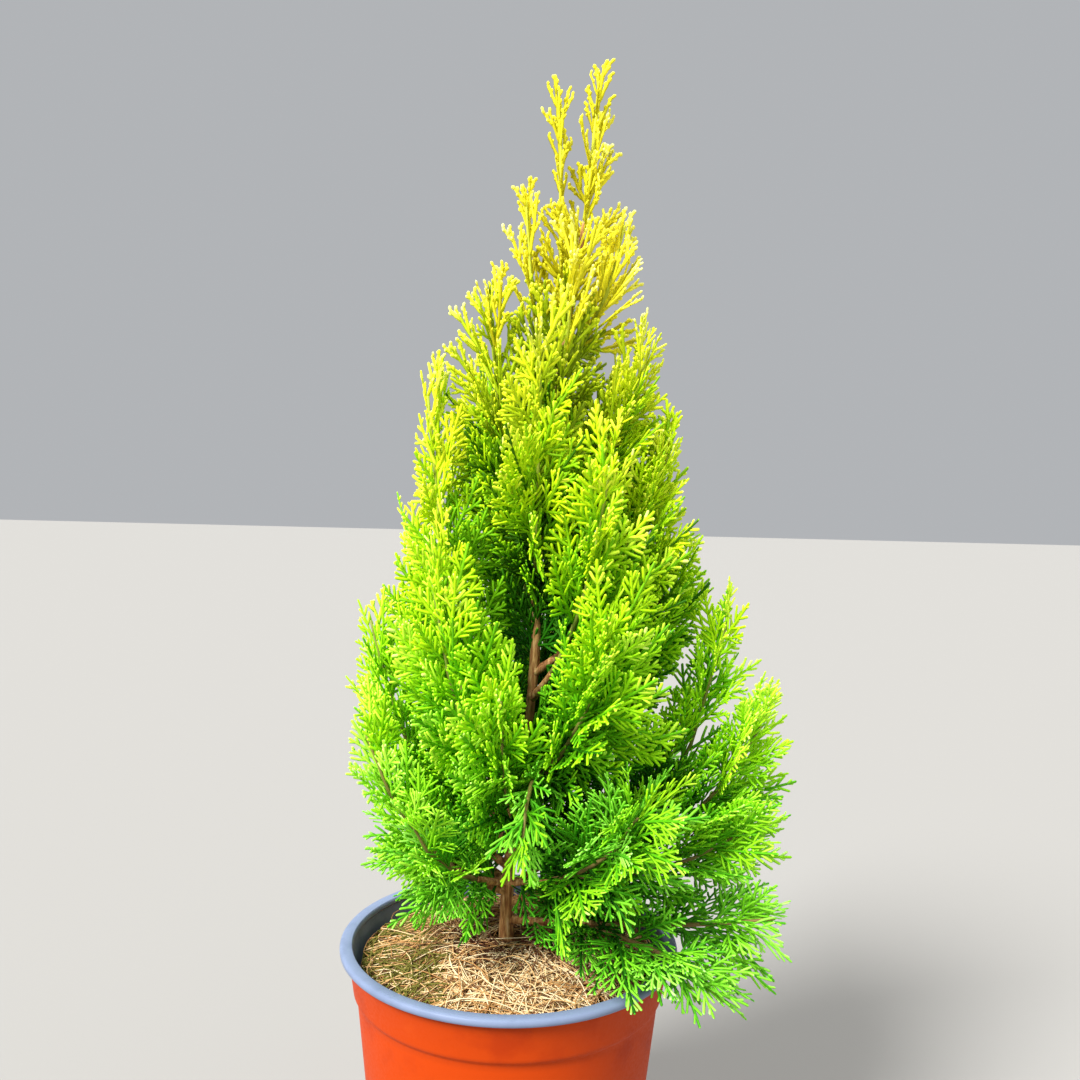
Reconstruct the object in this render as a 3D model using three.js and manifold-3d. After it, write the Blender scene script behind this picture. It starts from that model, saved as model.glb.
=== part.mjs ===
// A young thuja in a plastic nursery pot: trunk, boughs and masses of flat
// sprays, with a coir cover over the compost. Millimetres, +Z up. The origin
// is the middle of the pot's flat underside, and -Y is the plant's front.
import * as THREE from "three";
import { mergeVertices } from "three/addons/utils/BufferGeometryUtils.js";
import Module from "manifold-3d";

const wasm = await Module();
wasm.setup();

// Pot
const RIM_RADIUS = 65;
const POT_HEIGHT = 115;
const BASE_RADIUS = 47.4;
const WALL = 1.6;
const FLOOR = 2.2;
const BASE_BEVEL = 1.4;
const SHOULDER_HEIGHT = 96.7;
const SHOULDER_STEP = 1.4;
const SHOULDER_RISE = 1.4;
const SHOULDER_RADIUS = 59.6;
const COLLAR_RADIUS = 61.8;
const LIP_HEIGHT = 3;
const LIP_WIDTH = 5;
const LIP_ROUND = 1.3;
const LIP_STEPS = 2;
const DRAIN_HOLES = 6;
const DRAIN_RADIUS = 4;
const DRAIN_CIRCLE = 34;
const DRAIN_SIDES = 8;
const POT_SIDES = 28;

// Compost and its coir cover
const COMPOST_LEVEL = 103;
const COIR_EDGE_LEVEL = 105.5;
const COIR_CROWN_LEVEL = 113;
const COIR_STEPS = 4;
const COIR_HOLE_SPARE = 0.6;

// Trunk: heights and the sideways lean measured there
const TRUNK_TOP = 392;
const TRUNK_LINE = [
  [-1, COMPOST_LEVEL],
  [-1, 138],
  [4, 182],
  [7.5, 228],
  [7, 248],
  [9, 282],
  [12.5, 320],
  [22.5, TRUNK_TOP],
];
const TRUNK_RADIUS = 2.5;
const TRUNK_TIP_RADIUS = 0.95;
const FLARE = 1.9;
const FLARE_HEIGHT = 9;
const TRUNK_SIDES = 8;
const TRUNK_STEPS = 16;
const TRUNK_CUT_SPARE = 3;
const HALVINGS = 24;

// Boughs, stems and sprays
const BOUGH_RADIUS = 1.45;
const BOUGH_TIP_RADIUS = 0.95;
const BOUGH_SIDES = 5;
const BOUGH_STEPS = 3;
const STEM_RADIUS = 1.3;
const STEM_TIP_RADIUS = 0.9;
const STEM_SIDES = 3;
const STEM_STEPS = 3;
const STEM_END = 0.62;
const STEM_OVERRUN = 0.015;
const CORE_SIDES = 6;
const CORE_STEPS = 4;
const SPRAY_THICKNESS = 0.8;
const FACE_SPACING = 2.2;
const STALK_WIDTH = 0.7;
const STALK_SHARE = 0.12;
const SPRAY_SLIMNESS = 0.6;
const NOTCH_DEPTH = 0.42;
const TEETH = 3;
const LAST_TOOTH = 0.9;
const TOOTH_LEAN = 0.95;
const INNER_SHARE = 0.7;
const SWELL_POWER = 0.85;
const OPEN_ANGLE = 70;

// Clearances
const FACE_GAP = 0.3;
const JOINT_GAP = 0.34;
const LIMB_CLEARANCE = 1.1;
const NEIGHBOUR_CLEARANCE = 1.9;

// How the sprays stand on a mass's stem: the turn from each spray to the next,
// their angle to the stem at its foot and its tip, the radius of the mass's
// dense core as a share of its half width, and how far a spray curls back to
// the stem and how far its end hangs, as shares of its length.
const HABITS = {
  spire: { turn: 128, footAngle: 30, tipAngle: 18, core: 0, curl: 0.06, hang: 0 },
  plume: { turn: 100, footAngle: 44, tipAngle: 26, core: 0.62, curl: 0.1, hang: 0 },
  fan: { turn: 180, footAngle: 44, tipAngle: 27, core: 0, curl: 0.06, hang: 0.03 },
  skirt: { turn: 150, footAngle: 50, tipAngle: 32, core: 0.45, curl: 0.02, hang: 0.12 },
};

// One row for each mass: where its limb leaves the trunk (a height) or another
// bough (a share of it), its furthest tip, the share of the limb that is bare
// bough, its half width and its sprays. facing is the way the flat of its fan
// looks, and arch how far its limb rises above the straight way to its tip.
const MASSES = [
  {
    name: "leader", fork: TRUNK_TOP, tip: [27, 0, 452],
    width: 8, sprays: 6, habit: "spire", sweep: 0.4,
  },
  { name: "leader_side", fork: 346, tip: [12, -4, 445], width: 9, sprays: 7, habit: "spire" },
  { name: "top_left", fork: 322, tip: [-1, -4, 407], width: 13, sprays: 7, habit: "spire" },
  { name: "top_right", fork: 338, tip: [39, -3, 396], width: 14, sprays: 7, habit: "spire" },
  { name: "top_front", fork: 312, tip: [19, -23, 390], width: 15, sprays: 7, habit: "spire" },
  { name: "top_back", fork: 306, tip: [17, 24, 396], width: 15, sprays: 6, habit: "spire" },
  { name: "upper_left", fork: 268, tip: [-14, -12, 364], width: 18, sprays: 8, habit: "plume" },
  { name: "upper_front", fork: 250, tip: [7, -38, 346], width: 17, sprays: 7, habit: "plume" },
  { name: "upper_right", fork: 274, tip: [50, -8, 350], width: 18, sprays: 8, habit: "plume" },
  { name: "upper_back_left", fork: 246, tip: [-20, 36, 340], width: 20, sprays: 4, habit: "plume" },
  { name: "upper_back_right", fork: 256, tip: [38, 36, 342], width: 20, sprays: 4, habit: "plume" },
  {
    name: "left_shoulder", fork: 146, tip: [-36, -16, 336], bare: 0.33,
    width: 19, sprays: 9, habit: "plume", sweep: 0.62,
  },
  {
    name: "left_mid", on: "left_shoulder", fork: 0.8, tip: [-46, 10, 288],
    width: 18, sprays: 7, habit: "plume",
  },
  {
    name: "left_outer", fork: 142, tip: [-58, -6, 246], bare: 0.24,
    width: 18, sprays: 7, habit: "plume",
  },
  {
    name: "left_low", fork: 132, tip: [-56, -24, 204], bare: 0.26,
    width: 18, sprays: 7, habit: "plume",
  },
  {
    name: "left_foot", on: "left_low", fork: 0.6, tip: [-50, -6, 164],
    width: 14, sprays: 5, habit: "skirt",
  },
  {
    name: "left_front", fork: 166, tip: [-30, -40, 262], bare: 0.22,
    width: 21, sprays: 6, habit: "plume",
  },
  {
    name: "left_front_low", fork: 136, tip: [-36, -42, 174], bare: 0.24,
    width: 18, sprays: 5, habit: "skirt",
  },
  {
    name: "front_low", fork: 160, tip: [-4, -48, 220], bare: 0.29,
    width: 17, sprays: 6, habit: "plume",
  },
  {
    name: "front_drooping", on: "right_front", fork: 0.8, tip: [4, -60, 164],
    width: 10, sprays: 6, habit: "skirt", arch: 16,
  },
  {
    name: "centre_fan", fork: 208, tip: [33, -42, 304], bare: 0.2,
    width: 18, sprays: 6, habit: "plume",
  },
  {
    name: "right_front", fork: 174, tip: [34, -48, 246], bare: 0.23,
    width: 20, sprays: 6, habit: "plume",
  },
  {
    name: "right_front_low", fork: 136, tip: [46, -48, 180], bare: 0.24,
    width: 20, sprays: 7, habit: "skirt",
  },
  {
    name: "right_shoulder", fork: 218, tip: [60, -6, 316], bare: 0.17,
    width: 19, sprays: 9, habit: "plume",
  },
  { name: "right_mid", fork: 184, tip: [62, 6, 264], bare: 0.23, width: 19, sprays: 8, habit: "plume" },
  {
    name: "lobe_outer", fork: 128, tip: [97, -12, 208], bare: 0.3,
    width: 22, sprays: 10, habit: "fan", facing: [0, -1, 0.1],
  },
  {
    name: "lobe_top", on: "lobe_outer", fork: 0.5, tip: [84, -6, 254],
    width: 18, sprays: 10, habit: "fan", facing: [0, -1, 0], sweep: 0.8,
  },
  {
    name: "lobe_low", on: "right_front_low", fork: 0.66, tip: [90, -24, 168],
    width: 21, sprays: 9, habit: "fan", facing: [0, -1, 0.3],
  },
  {
    name: "rim_spray", fork: 121, tip: [98, -38, 140], bare: 0.24,
    width: 20, sprays: 7, habit: "skirt", facing: [0, -0.5, 1], arch: 4,
  },
  {
    name: "rim_hanging", on: "rim_spray", fork: 0.7, tip: [74, -54, 118],
    width: 18, sprays: 8, habit: "skirt", arch: 8,
  },
  {
    name: "back_left", fork: 168, tip: [-48, 42, 252], bare: 0.23,
    width: 21, sprays: 4, habit: "plume",
  },
  { name: "back", fork: 176, tip: [2, 56, 264], bare: 0.23, width: 21, sprays: 4, habit: "plume" },
  {
    name: "back_right", fork: 198, tip: [46, 44, 262], bare: 0.23,
    width: 21, sprays: 4, habit: "plume",
  },
  {
    name: "back_low_left", fork: 136, tip: [-48, 36, 184], bare: 0.24,
    width: 20, sprays: 4, habit: "skirt",
  },
  { name: "back_low", fork: 142, tip: [2, 58, 194], bare: 0.24, width: 20, sprays: 4, habit: "skirt" },
  {
    name: "back_low_right", fork: 134, tip: [54, 40, 186], bare: 0.24,
    width: 20, sprays: 4, habit: "skirt",
  },
];
const DEFAULTS = { bare: 0, sweep: 0.72, arch: 0 };
const LIFT = 0.24;

// The crown's outline: the height, its reach to the left and the right (x), and its reach to
// front and back. Sprays stay inside the ellipses through them.
const OUTLINE = [
  { z: 84, left: -20, right: 84, depth: 58 },
  { z: 104, left: -30, right: 100, depth: 62 },
  { z: 122, left: -42, right: 112, depth: 66 },
  { z: 147, left: -52, right: 102, depth: 70 },
  { z: 182, left: -58, right: 104, depth: 70 },
  { z: 205, left: -64, right: 102, depth: 68 },
  { z: 236, left: -60, right: 92, depth: 64 },
  { z: 262, left: -50, right: 76, depth: 60 },
  { z: 291, left: -44, right: 66, depth: 54 },
  { z: 325, left: -41, right: 60, depth: 46 },
  { z: 345, left: -36, right: 52, depth: 40 },
  { z: 364, left: -20, right: 46, depth: 34 },
  { z: 385, left: -12, right: 44, depth: 28 },
  { z: 408, left: -4, right: 40, depth: 20 },
  { z: 430, left: 3, right: 35, depth: 12 },
  { z: 456, left: 8, right: 32, depth: 7 },
];
const OUTLINE_SPARE = 1.1;

// The two stretches of trunk that no spray hangs in front of: [least, most] of x and z.
const CLEFTS = [
  { x: [1, 13], z: [208, 250] },
  { x: [-7, 5], z: [104, 160] },
];

// Colours
const COLOURS = {
  pot: 0xe8541c,
  rim: 0xa9b4cc,
  compost: 0x3a2a20,
  coir: 0xc8a466,
  bark: 0x8a5a3c,
  gold: 0xd6dc3a,
  lime: 0x9fd32e,
  green: 0x4fa528,
};
const GOLD_FROM = 300;
const LIME_FROM = 215;

function material(colour, roughness) {
  return new THREE.MeshStandardMaterial({ color: colour, roughness, metalness: 0 });
}

function solidOf(geometry) {
  const bare = geometry.clone();
  bare.deleteAttribute("uv");
  bare.deleteAttribute("normal");
  const merged = mergeVertices(bare, 1e-4);
  const vertProperties = new Float32Array(merged.attributes.position.array);
  const triVerts = new Uint32Array(merged.index.array);
  return new wasm.Manifold(new wasm.Mesh({ numProp: 3, vertProperties, triVerts }));
}

function geometryOf(solid) {
  const { vertProperties, triVerts } = solid.getMesh();
  const geometry = new THREE.BufferGeometry();
  geometry.setAttribute("position", new THREE.BufferAttribute(vertProperties, 3));
  geometry.setIndex(new THREE.BufferAttribute(triVerts, 1));
  geometry.computeVertexNormals();
  return geometry;
}

// The largest body of a solid, without its scraps and sealed hollows.
function mainBody(solid) {
  const bodies = solid.decompose();
  return bodies.reduce((best, body) => (body.volume() > best.volume() ? body : best));
}

// A solid of revolution about Z from [radius, height] pairs, outer side first.
function turned(profile, sides) {
  const points = profile.map(([r, z]) => new THREE.Vector2(r, z));
  return new THREE.LatheGeometry(points, sides).rotateX(Math.PI / 2);
}

// The same numbers in the same order for the same seed.
function seeded(seed) {
  let state = seed;
  return () => {
    state = (state + 0x6d2b79f5) | 0;
    let mixed = Math.imul(state ^ (state >>> 15), 1 | state);
    mixed = (mixed + Math.imul(mixed ^ (mixed >>> 7), 61 | mixed)) ^ mixed;
    return ((mixed ^ (mixed >>> 14)) >>> 0) / 4294967296;
  };
}

// The stretch of a curve between two of its parameters.
class Stretch extends THREE.Curve {
  constructor(curve, from, to) {
    super();
    this.curve = curve;
    this.from = from;
    this.to = to;
  }

  getPoint(t, target = new THREE.Vector3()) {
    return this.curve.getPoint(this.from + (this.to - this.from) * t, target);
  }
}

// A tapering limb along a path: a regular section drawn along it, each ring then set to its radius.
function limbGeometry(path, steps, sides, radiusAt) {
  const corners = Array.from({ length: sides }, (_, i) => {
    const angle = (i / sides) * 2 * Math.PI;
    return new THREE.Vector2(Math.cos(angle), Math.sin(angle));
  });
  const options = { steps, extrudePath: path, bevelEnabled: false };
  const geometry = new THREE.ExtrudeGeometry(new THREE.Shape(corners), options);
  const centres = path.getSpacedPoints(steps);
  const position = geometry.attributes.position;
  const point = new THREE.Vector3();
  for (let i = 0; i < position.count; i++) {
    point.fromBufferAttribute(position, i);
    const distances = centres.map((centre) => centre.distanceToSquared(point));
    const ring = distances.indexOf(Math.min(...distances));
    point.sub(centres[ring]).multiplyScalar(radiusAt(ring / steps)).add(centres[ring]);
    position.setXYZ(i, point.x, point.y, point.z);
  }
  return geometry;
}

function mix(a, b, share) {
  return a + (b - a) * share;
}

// Pot, rim, compost and coir
function wallRadius(height) {
  const taper = (SHOULDER_RADIUS - SHOULDER_STEP - BASE_RADIUS) / (SHOULDER_HEIGHT - BASE_BEVEL);
  return BASE_RADIUS + taper * (height - BASE_BEVEL) - WALL;
}

function potSolid() {
  const shellTop = POT_HEIGHT - LIP_HEIGHT + JOINT_GAP;
  const shoulderTop = SHOULDER_HEIGHT + SHOULDER_RISE;
  const below = SHOULDER_RADIUS - SHOULDER_STEP;
  const shell = solidOf(
    turned(
      [
        [0, 0],
        [BASE_RADIUS - BASE_BEVEL, 0],
        [BASE_RADIUS, BASE_BEVEL],
        [below, SHOULDER_HEIGHT],
        [SHOULDER_RADIUS, shoulderTop],
        [COLLAR_RADIUS, shellTop],
        [COLLAR_RADIUS - WALL, shellTop],
        [SHOULDER_RADIUS - WALL, shoulderTop + WALL],
        [below - WALL, SHOULDER_HEIGHT + WALL],
        [wallRadius(FLOOR), FLOOR],
        [0, FLOOR],
      ],
      POT_SIDES,
    ),
  );
  let drained = shell;
  for (let i = 0; i < DRAIN_HOLES; i++) {
    const angle = ((i + 0.5) / DRAIN_HOLES) * 2 * Math.PI;
    const drill = new THREE.CylinderGeometry(DRAIN_RADIUS, DRAIN_RADIUS, FLOOR * 4, DRAIN_SIDES);
    drill.rotateX(Math.PI / 2);
    drill.translate(DRAIN_CIRCLE * Math.cos(angle), DRAIN_CIRCLE * Math.sin(angle), 0);
    drained = drained.subtract(solidOf(drill));
  }
  return drained;
}

// The rolled lip: flat under the roll where it sits on the wall's top edge.
function lipSolid() {
  const inner = RIM_RADIUS - LIP_WIDTH;
  const foot = POT_HEIGHT - LIP_HEIGHT;
  const seat = foot + FACE_GAP + JOINT_GAP;
  const middle = RIM_RADIUS - LIP_ROUND;
  const roll = [];
  for (let i = 0; i <= 2 * LIP_STEPS; i++) {
    const angle = -Math.PI / 2 + (i / (2 * LIP_STEPS)) * Math.PI;
    const centre = angle < 0 ? foot + LIP_ROUND : POT_HEIGHT - LIP_ROUND;
    roll.push([middle + LIP_ROUND * Math.cos(angle), centre + LIP_ROUND * Math.sin(angle)]);
  }
  const outside = COLLAR_RADIUS + FACE_GAP;
  const profile = [
    [outside, foot],
    ...roll,
    [inner + LIP_ROUND, POT_HEIGHT],
    [inner, POT_HEIGHT - LIP_ROUND],
    [inner, seat],
    [outside, seat],
    [outside, foot],
  ];
  return solidOf(turned(profile, POT_SIDES));
}

function compostSolid() {
  const foot = FLOOR + FACE_GAP;
  return solidOf(
    turned(
      [
        [0, foot],
        [wallRadius(foot) - 2 * FACE_GAP, foot],
        [wallRadius(SHOULDER_HEIGHT) - 2 * FACE_GAP, SHOULDER_HEIGHT],
        [wallRadius(SHOULDER_HEIGHT) - FACE_GAP, COMPOST_LEVEL],
        [0, COMPOST_LEVEL],
      ],
      POT_SIDES,
    ),
  );
}

function coirSolid(trunkHole) {
  const foot = COMPOST_LEVEL + FACE_GAP;
  const edge = SHOULDER_RADIUS - WALL - 3 * FACE_GAP;
  const profile = [[0, foot], [edge, foot]];
  for (let i = 0; i <= COIR_STEPS; i++) {
    const share = 1 - i / COIR_STEPS;
    const rise = (COIR_CROWN_LEVEL - COIR_EDGE_LEVEL) * (1 - share ** 2);
    profile.push([edge * share, COIR_EDGE_LEVEL + rise]);
  }
  return solidOf(turned(profile, POT_SIDES)).subtract(trunkHole);
}

// Trunk
const trunkCurve = new THREE.CatmullRomCurve3(
  TRUNK_LINE.map(([x, z], i) => {
    const spare = i === 0 ? TRUNK_CUT_SPARE : 0;
    return new THREE.Vector3(x, 0, z - spare);
  }),
);

function trunkRadius(height, spare = 0) {
  const share = (height - COMPOST_LEVEL) / (TRUNK_TOP - COMPOST_LEVEL);
  const flare = FLARE * Math.exp(-Math.max(height - COMPOST_LEVEL, 0) / FLARE_HEIGHT);
  return mix(TRUNK_RADIUS, TRUNK_TIP_RADIUS, share) + flare + spare;
}

function trunkSolid(spare) {
  const radiusAt = (u) => trunkRadius(trunkCurve.getPointAt(u).z, spare);
  return solidOf(limbGeometry(trunkCurve, TRUNK_STEPS, TRUNK_SIDES, radiusAt));
}

// The trunk with its foot cut flat on the compost.
function cutTrunk() {
  const cutter = new THREE.BoxGeometry(4 * RIM_RADIUS, 4 * RIM_RADIUS, COMPOST_LEVEL);
  cutter.translate(0, 0, COMPOST_LEVEL / 2 + FACE_GAP);
  return trunkSolid(0).subtract(solidOf(cutter));
}

function trunkPoint(height) {
  let low = 0;
  let high = 1;
  for (let i = 0; i < HALVINGS; i++) {
    const middle = (low + high) / 2;
    if (trunkCurve.getPoint(middle).z < height) low = middle;
    else high = middle;
  }
  return trunkCurve.getPoint(low);
}

// The curve of a limb from its fork out to the mass's furthest tip: outwards first, then upwards.
const rowList = MASSES.map((row) => ({ ...DEFAULTS, ...row }));
const rows = new Map(rowList.map((row) => [row.name, row]));

function axisOf(row) {
  const foot = row.on
    ? axisOf(rows.get(row.on)).getPoint(row.fork * rows.get(row.on).bare)
    : trunkPoint(row.fork);
  const tip = new THREE.Vector3(...row.tip);
  const bend = new THREE.Vector3(
    mix(foot.x, tip.x, row.sweep),
    mix(foot.y, tip.y, row.sweep),
    mix(foot.z, tip.z, LIFT) + row.arch,
  );
  return new THREE.QuadraticBezierCurve3(foot, bend, tip);
}

function boughRadius(share, spare = 0) {
  return mix(BOUGH_RADIUS, BOUGH_TIP_RADIUS, share) + spare;
}

function boughSolid(row, spare) {
  const path = new Stretch(axisOf(row), 0, row.bare);
  const radiusAt = (u) => boughRadius(u, spare);
  return solidOf(limbGeometry(path, BOUGH_STEPS, BOUGH_SIDES, radiusAt));
}

// The solid that a limb grows out of, grown by the gap between them.
function parentSpace(row) {
  return row.on ? boughSolid(rows.get(row.on), JOINT_GAP) : trunkSolid(JOINT_GAP);
}

// Whether a mass's stem starts at the end of its bough or of the trunk, not at a side.
function carriesOn(row) {
  return row.bare > 0 || row.fork === TRUNK_TOP;
}

const PARAMETER_STEP = 1e-3;

// Where a mass's stem starts on its axis, clear of the limb that it carries on.
function stemStart(row) {
  if (!carriesOn(row)) return 0;
  const axis = axisOf(row);
  const step = PARAMETER_STEP;
  const speed = axis.getPoint(row.bare).distanceTo(axis.getPoint(row.bare + step)) / step;
  return row.bare + JOINT_GAP / speed;
}

// The limbs as strings of points with a radius, for clearances.
const BEAD_SPACING = 1.5;

function limbBeads() {
  const beads = [];
  for (let z = COMPOST_LEVEL; z <= TRUNK_TOP; z += BEAD_SPACING) {
    beads.push({ at: trunkPoint(z), radius: trunkRadius(z) });
  }
  for (const row of rowList.filter((each) => each.bare)) {
    const axis = axisOf(row);
    const count = Math.ceil((axis.getLength() * row.bare) / BEAD_SPACING);
    for (let i = 0; i <= count; i++) {
      const share = i / count;
      beads.push({ at: axis.getPoint(share * row.bare), radius: boughRadius(share), of: row.name });
    }
  }
  return beads;
}
const LIMB_BEADS = limbBeads();

// A mass's own space: nearer to its own axis than to any other's, each measured from a spindle
// that is as wide as the mass.
const SPACE_STEPS = 10;
const SPINDLE_END = 0.45;
const SWELL_FROM = 0.1;

function spindle(row) {
  const axis = axisOf(row);
  const start = stemStart(row);
  return Array.from({ length: SPACE_STEPS + 1 }, (_, i) => {
    const share = i / SPACE_STEPS;
    const swell = mix(SPINDLE_END, 1, Math.sin(Math.PI * mix(SWELL_FROM, 1 - SWELL_FROM, share)));
    return { at: axis.getPoint(mix(start, 1, share)), radius: row.width * swell };
  });
}
const SPINDLES = new Map(rowList.map((row) => [row.name, spindle(row)]));

function outside(point, beads) {
  return Math.min(...beads.map(({ at, radius }) => at.distanceTo(point) - radius));
}

function inOwnSpace(point, name) {
  const own = outside(point, SPINDLES.get(name));
  for (const [other, beads] of SPINDLES) {
    if (other !== name && outside(point, beads) - own < NEIGHBOUR_CLEARANCE) return false;
  }
  return true;
}

// The radius of the ball round a point that is still in a mass's own space and clear of the limbs.
function roomRound(point, name) {
  const own = outside(point, SPINDLES.get(name));
  const others = [...SPINDLES].filter(([other]) => other !== name);
  const nearest = Math.min(...others.map(([, beads]) => outside(point, beads)));
  const toLimbs = outside(point, LIMB_BEADS) - LIMB_CLEARANCE;
  return Math.min((nearest - own - NEIGHBOUR_CLEARANCE) / 2, toLimbs);
}

function clearOfLimbs(point) {
  if (outside(point, LIMB_BEADS) < LIMB_CLEARANCE) return false;
  return !CLEFTS.some(
    ({ x, z }) => point.y < 0 && point.x > x[0] && point.x < x[1] && point.z > z[0] && point.z < z[1],
  );
}

function clearOfPot(point) {
  const radius = Math.hypot(point.x, point.y);
  if (point.z > POT_HEIGHT + LIMB_CLEARANCE) return true;
  return radius > RIM_RADIUS + LIMB_CLEARANCE;
}

function inOutline(point) {
  const next = OUTLINE.findIndex(({ z }) => z > point.z);
  if (next < 1) return false;
  const low = OUTLINE[next - 1];
  const high = OUTLINE[next];
  const share = (point.z - low.z) / (high.z - low.z);
  const left = mix(low.left, high.left, share);
  const right = mix(low.right, high.right, share);
  const across = (point.x - (left + right) / 2) / ((right - left) / 2);
  return Math.hypot(across, point.y / mix(low.depth, high.depth, share)) < OUTLINE_SPARE;
}

// A spray lies in a frame of its own: x from its root, y across, z through its flat.
class Spray {
  constructor(root, direction, flat, length, width, angle, habit) {
    this.root = root;
    this.length = length;
    this.width = width;
    this.slope = Math.tan(THREE.MathUtils.degToRad(angle)) * INNER_SHARE;
    this.habit = habit;
    this.along = direction.clone().normalize();
    this.across = flat.clone().cross(this.along).normalize();
    this.through = this.along.clone().cross(this.across);
  }

  halfWidth(share) {
    const inside = Math.max(share - STALK_SHARE, 0) / (1 - STALK_SHARE);
    const swell = Math.sin(Math.PI * mix(SWELL_FROM, 1, Math.min(inside, 1)) ** SWELL_POWER);
    return (STALK_WIDTH + this.width * swell) / 2;
  }

  // Its half width towards the stem, where it stops short of crossing the stem.
  innerWidth(share) {
    const room = share * this.length * this.slope;
    return Math.min(this.halfWidth(share), Math.max(room, STALK_WIDTH / 2));
  }

  // From the spray's own frame to the plant's, with its curl and hang.
  place(x, y, z) {
    const bend = (x / this.length) ** 2 * this.length;
    return this.root
      .clone()
      .addScaledVector(this.along, x)
      .addScaledVector(this.across, y - this.habit.curl * bend)
      .addScaledVector(this.through, z)
      .add(new THREE.Vector3(0, 0, -this.habit.hang * bend));
  }

  // Points over its whole face, a few millimetres apart, for clearances.
  face() {
    const points = [];
    const count = Math.ceil(this.length / FACE_SPACING);
    for (let i = 0; i <= count; i++) {
      const share = mix(STALK_SHARE, 1, i / count);
      for (const side of [-1, -0.5, 0, 0.5, 1]) {
        const width = side < 0 ? this.innerWidth(share) : this.halfWidth(share);
        points.push(this.place(share * this.length, side * width, 0));
      }
    }
    return points;
  }

  // One edge from root to end: teeth that lean forwards, with notches between them.
  edge(widthAt) {
    const points = [[0, STALK_WIDTH / 2]];
    for (let i = 0; i < TEETH; i++) {
      const notch = mix(STALK_SHARE, LAST_TOOTH, i / TEETH);
      const point = mix(STALK_SHARE, LAST_TOOTH, (i + TOOTH_LEAN) / TEETH);
      if (i) points.push([notch * this.length, widthAt(notch) * NOTCH_DEPTH]);
      points.push([point * this.length, widthAt(point)]);
    }
    return points;
  }

  outline() {
    const outer = this.edge((share) => this.halfWidth(share));
    const inner = this.edge((share) => this.innerWidth(share));
    const lower = inner.map(([x, y]) => [x, -y]).reverse();
    return [...outer, [this.length, 0], ...lower].map(([x, y]) => new THREE.Vector2(x, y));
  }

  solid() {
    const shape = new THREE.Shape(this.outline());
    const options = { depth: SPRAY_THICKNESS, bevelEnabled: false };
    const geometry = new THREE.ExtrudeGeometry(shape, options);
    const position = geometry.attributes.position;
    for (let i = 0; i < position.count; i++) {
      const z = position.getZ(i) - SPRAY_THICKNESS / 2;
      const point = this.place(position.getX(i), position.getY(i), z);
      position.setXYZ(i, point.x, point.y, point.z);
    }
    return solidOf(geometry);
  }
}

// The sprays of a mass: each a turn on from the last round the stem and nearer its tip, the last one
// carrying the stem on. A side spray is made shorter, and an end one narrower, until it keeps to its
// space, or is left out.
const SHORTENINGS = [1, 0.85, 0.72, 0.6, 0.5, 0.4];
const FIRST_SPRAY = 0.08;
const SPRAY_REACH = 3;
const WIDEST_SPRAY = 1.5;
const TURN_SPREAD = 9;
const TWIST_SPREAD = 16;
const LENGTH_SPREAD = 0.1;
const FOOT_LENGTH = 1.05;
const TIP_LENGTH = 0.85;

function spraysOf(row, index) {
  const random = seeded(index + 1);
  const habit = HABITS[row.habit];
  const axis = axisOf(row);
  const start = stemStart(row);
  const facing = new THREE.Vector3(...(row.facing ?? [row.tip[0], row.tip[1], 0])).normalize();
  const sprays = [];
  for (let i = 0; i < row.sprays; i++) {
    const last = i === row.sprays - 1;
    const share = last ? 1 : i / (row.sprays - 1);
    const at = mix(start, 1, mix(FIRST_SPRAY, STEM_END, share));
    const root = axis.getPoint(at);
    const tangent = axis.getTangent(at).normalize();
    const side = facing.clone().cross(tangent).normalize();
    const turn = THREE.MathUtils.degToRad(i * habit.turn + mix(-TURN_SPREAD, TURN_SPREAD, random()));
    const radial = side.applyAxisAngle(tangent, turn);
    const angleDegrees = mix(habit.footAngle, habit.tipAngle, share);
    const angle = THREE.MathUtils.degToRad(angleDegrees);
    const vigour = mix(1 - LENGTH_SPREAD, 1 + LENGTH_SPREAD, random());
    const reach = row.width * SPRAY_REACH * mix(FOOT_LENGTH, TIP_LENGTH, share) * vigour;
    const twist = THREE.MathUtils.degToRad(mix(-TWIST_SPREAD, TWIST_SPREAD, random()));
    const direction = last
      ? new THREE.Vector3(...row.tip).sub(root)
      : tangent.clone().multiplyScalar(Math.cos(angle)).addScaledVector(radial, Math.sin(angle));
    const flat = tangent.clone().cross(radial).applyAxisAngle(direction.clone().normalize(), twist);
    const full = last ? direction.length() : reach;
    for (const less of SHORTENINGS) {
      const long = last ? full : full * less;
      const wide = Math.min(long * SPRAY_SLIMNESS, row.width * WIDEST_SPRAY) * (last ? less : 1);
      const opening = last ? OPEN_ANGLE : angleDegrees;
      const spray = new Spray(root, direction, flat, long, wide, opening, habit);
      const fits = spray.face().every(
        (p) => (last || inOutline(p)) && inOwnSpace(p, row.name) && clearOfLimbs(p) && clearOfPot(p),
      );
      if (fits) {
        sprays.push(spray);
        break;
      }
    }
  }
  return sprays;
}

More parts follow.
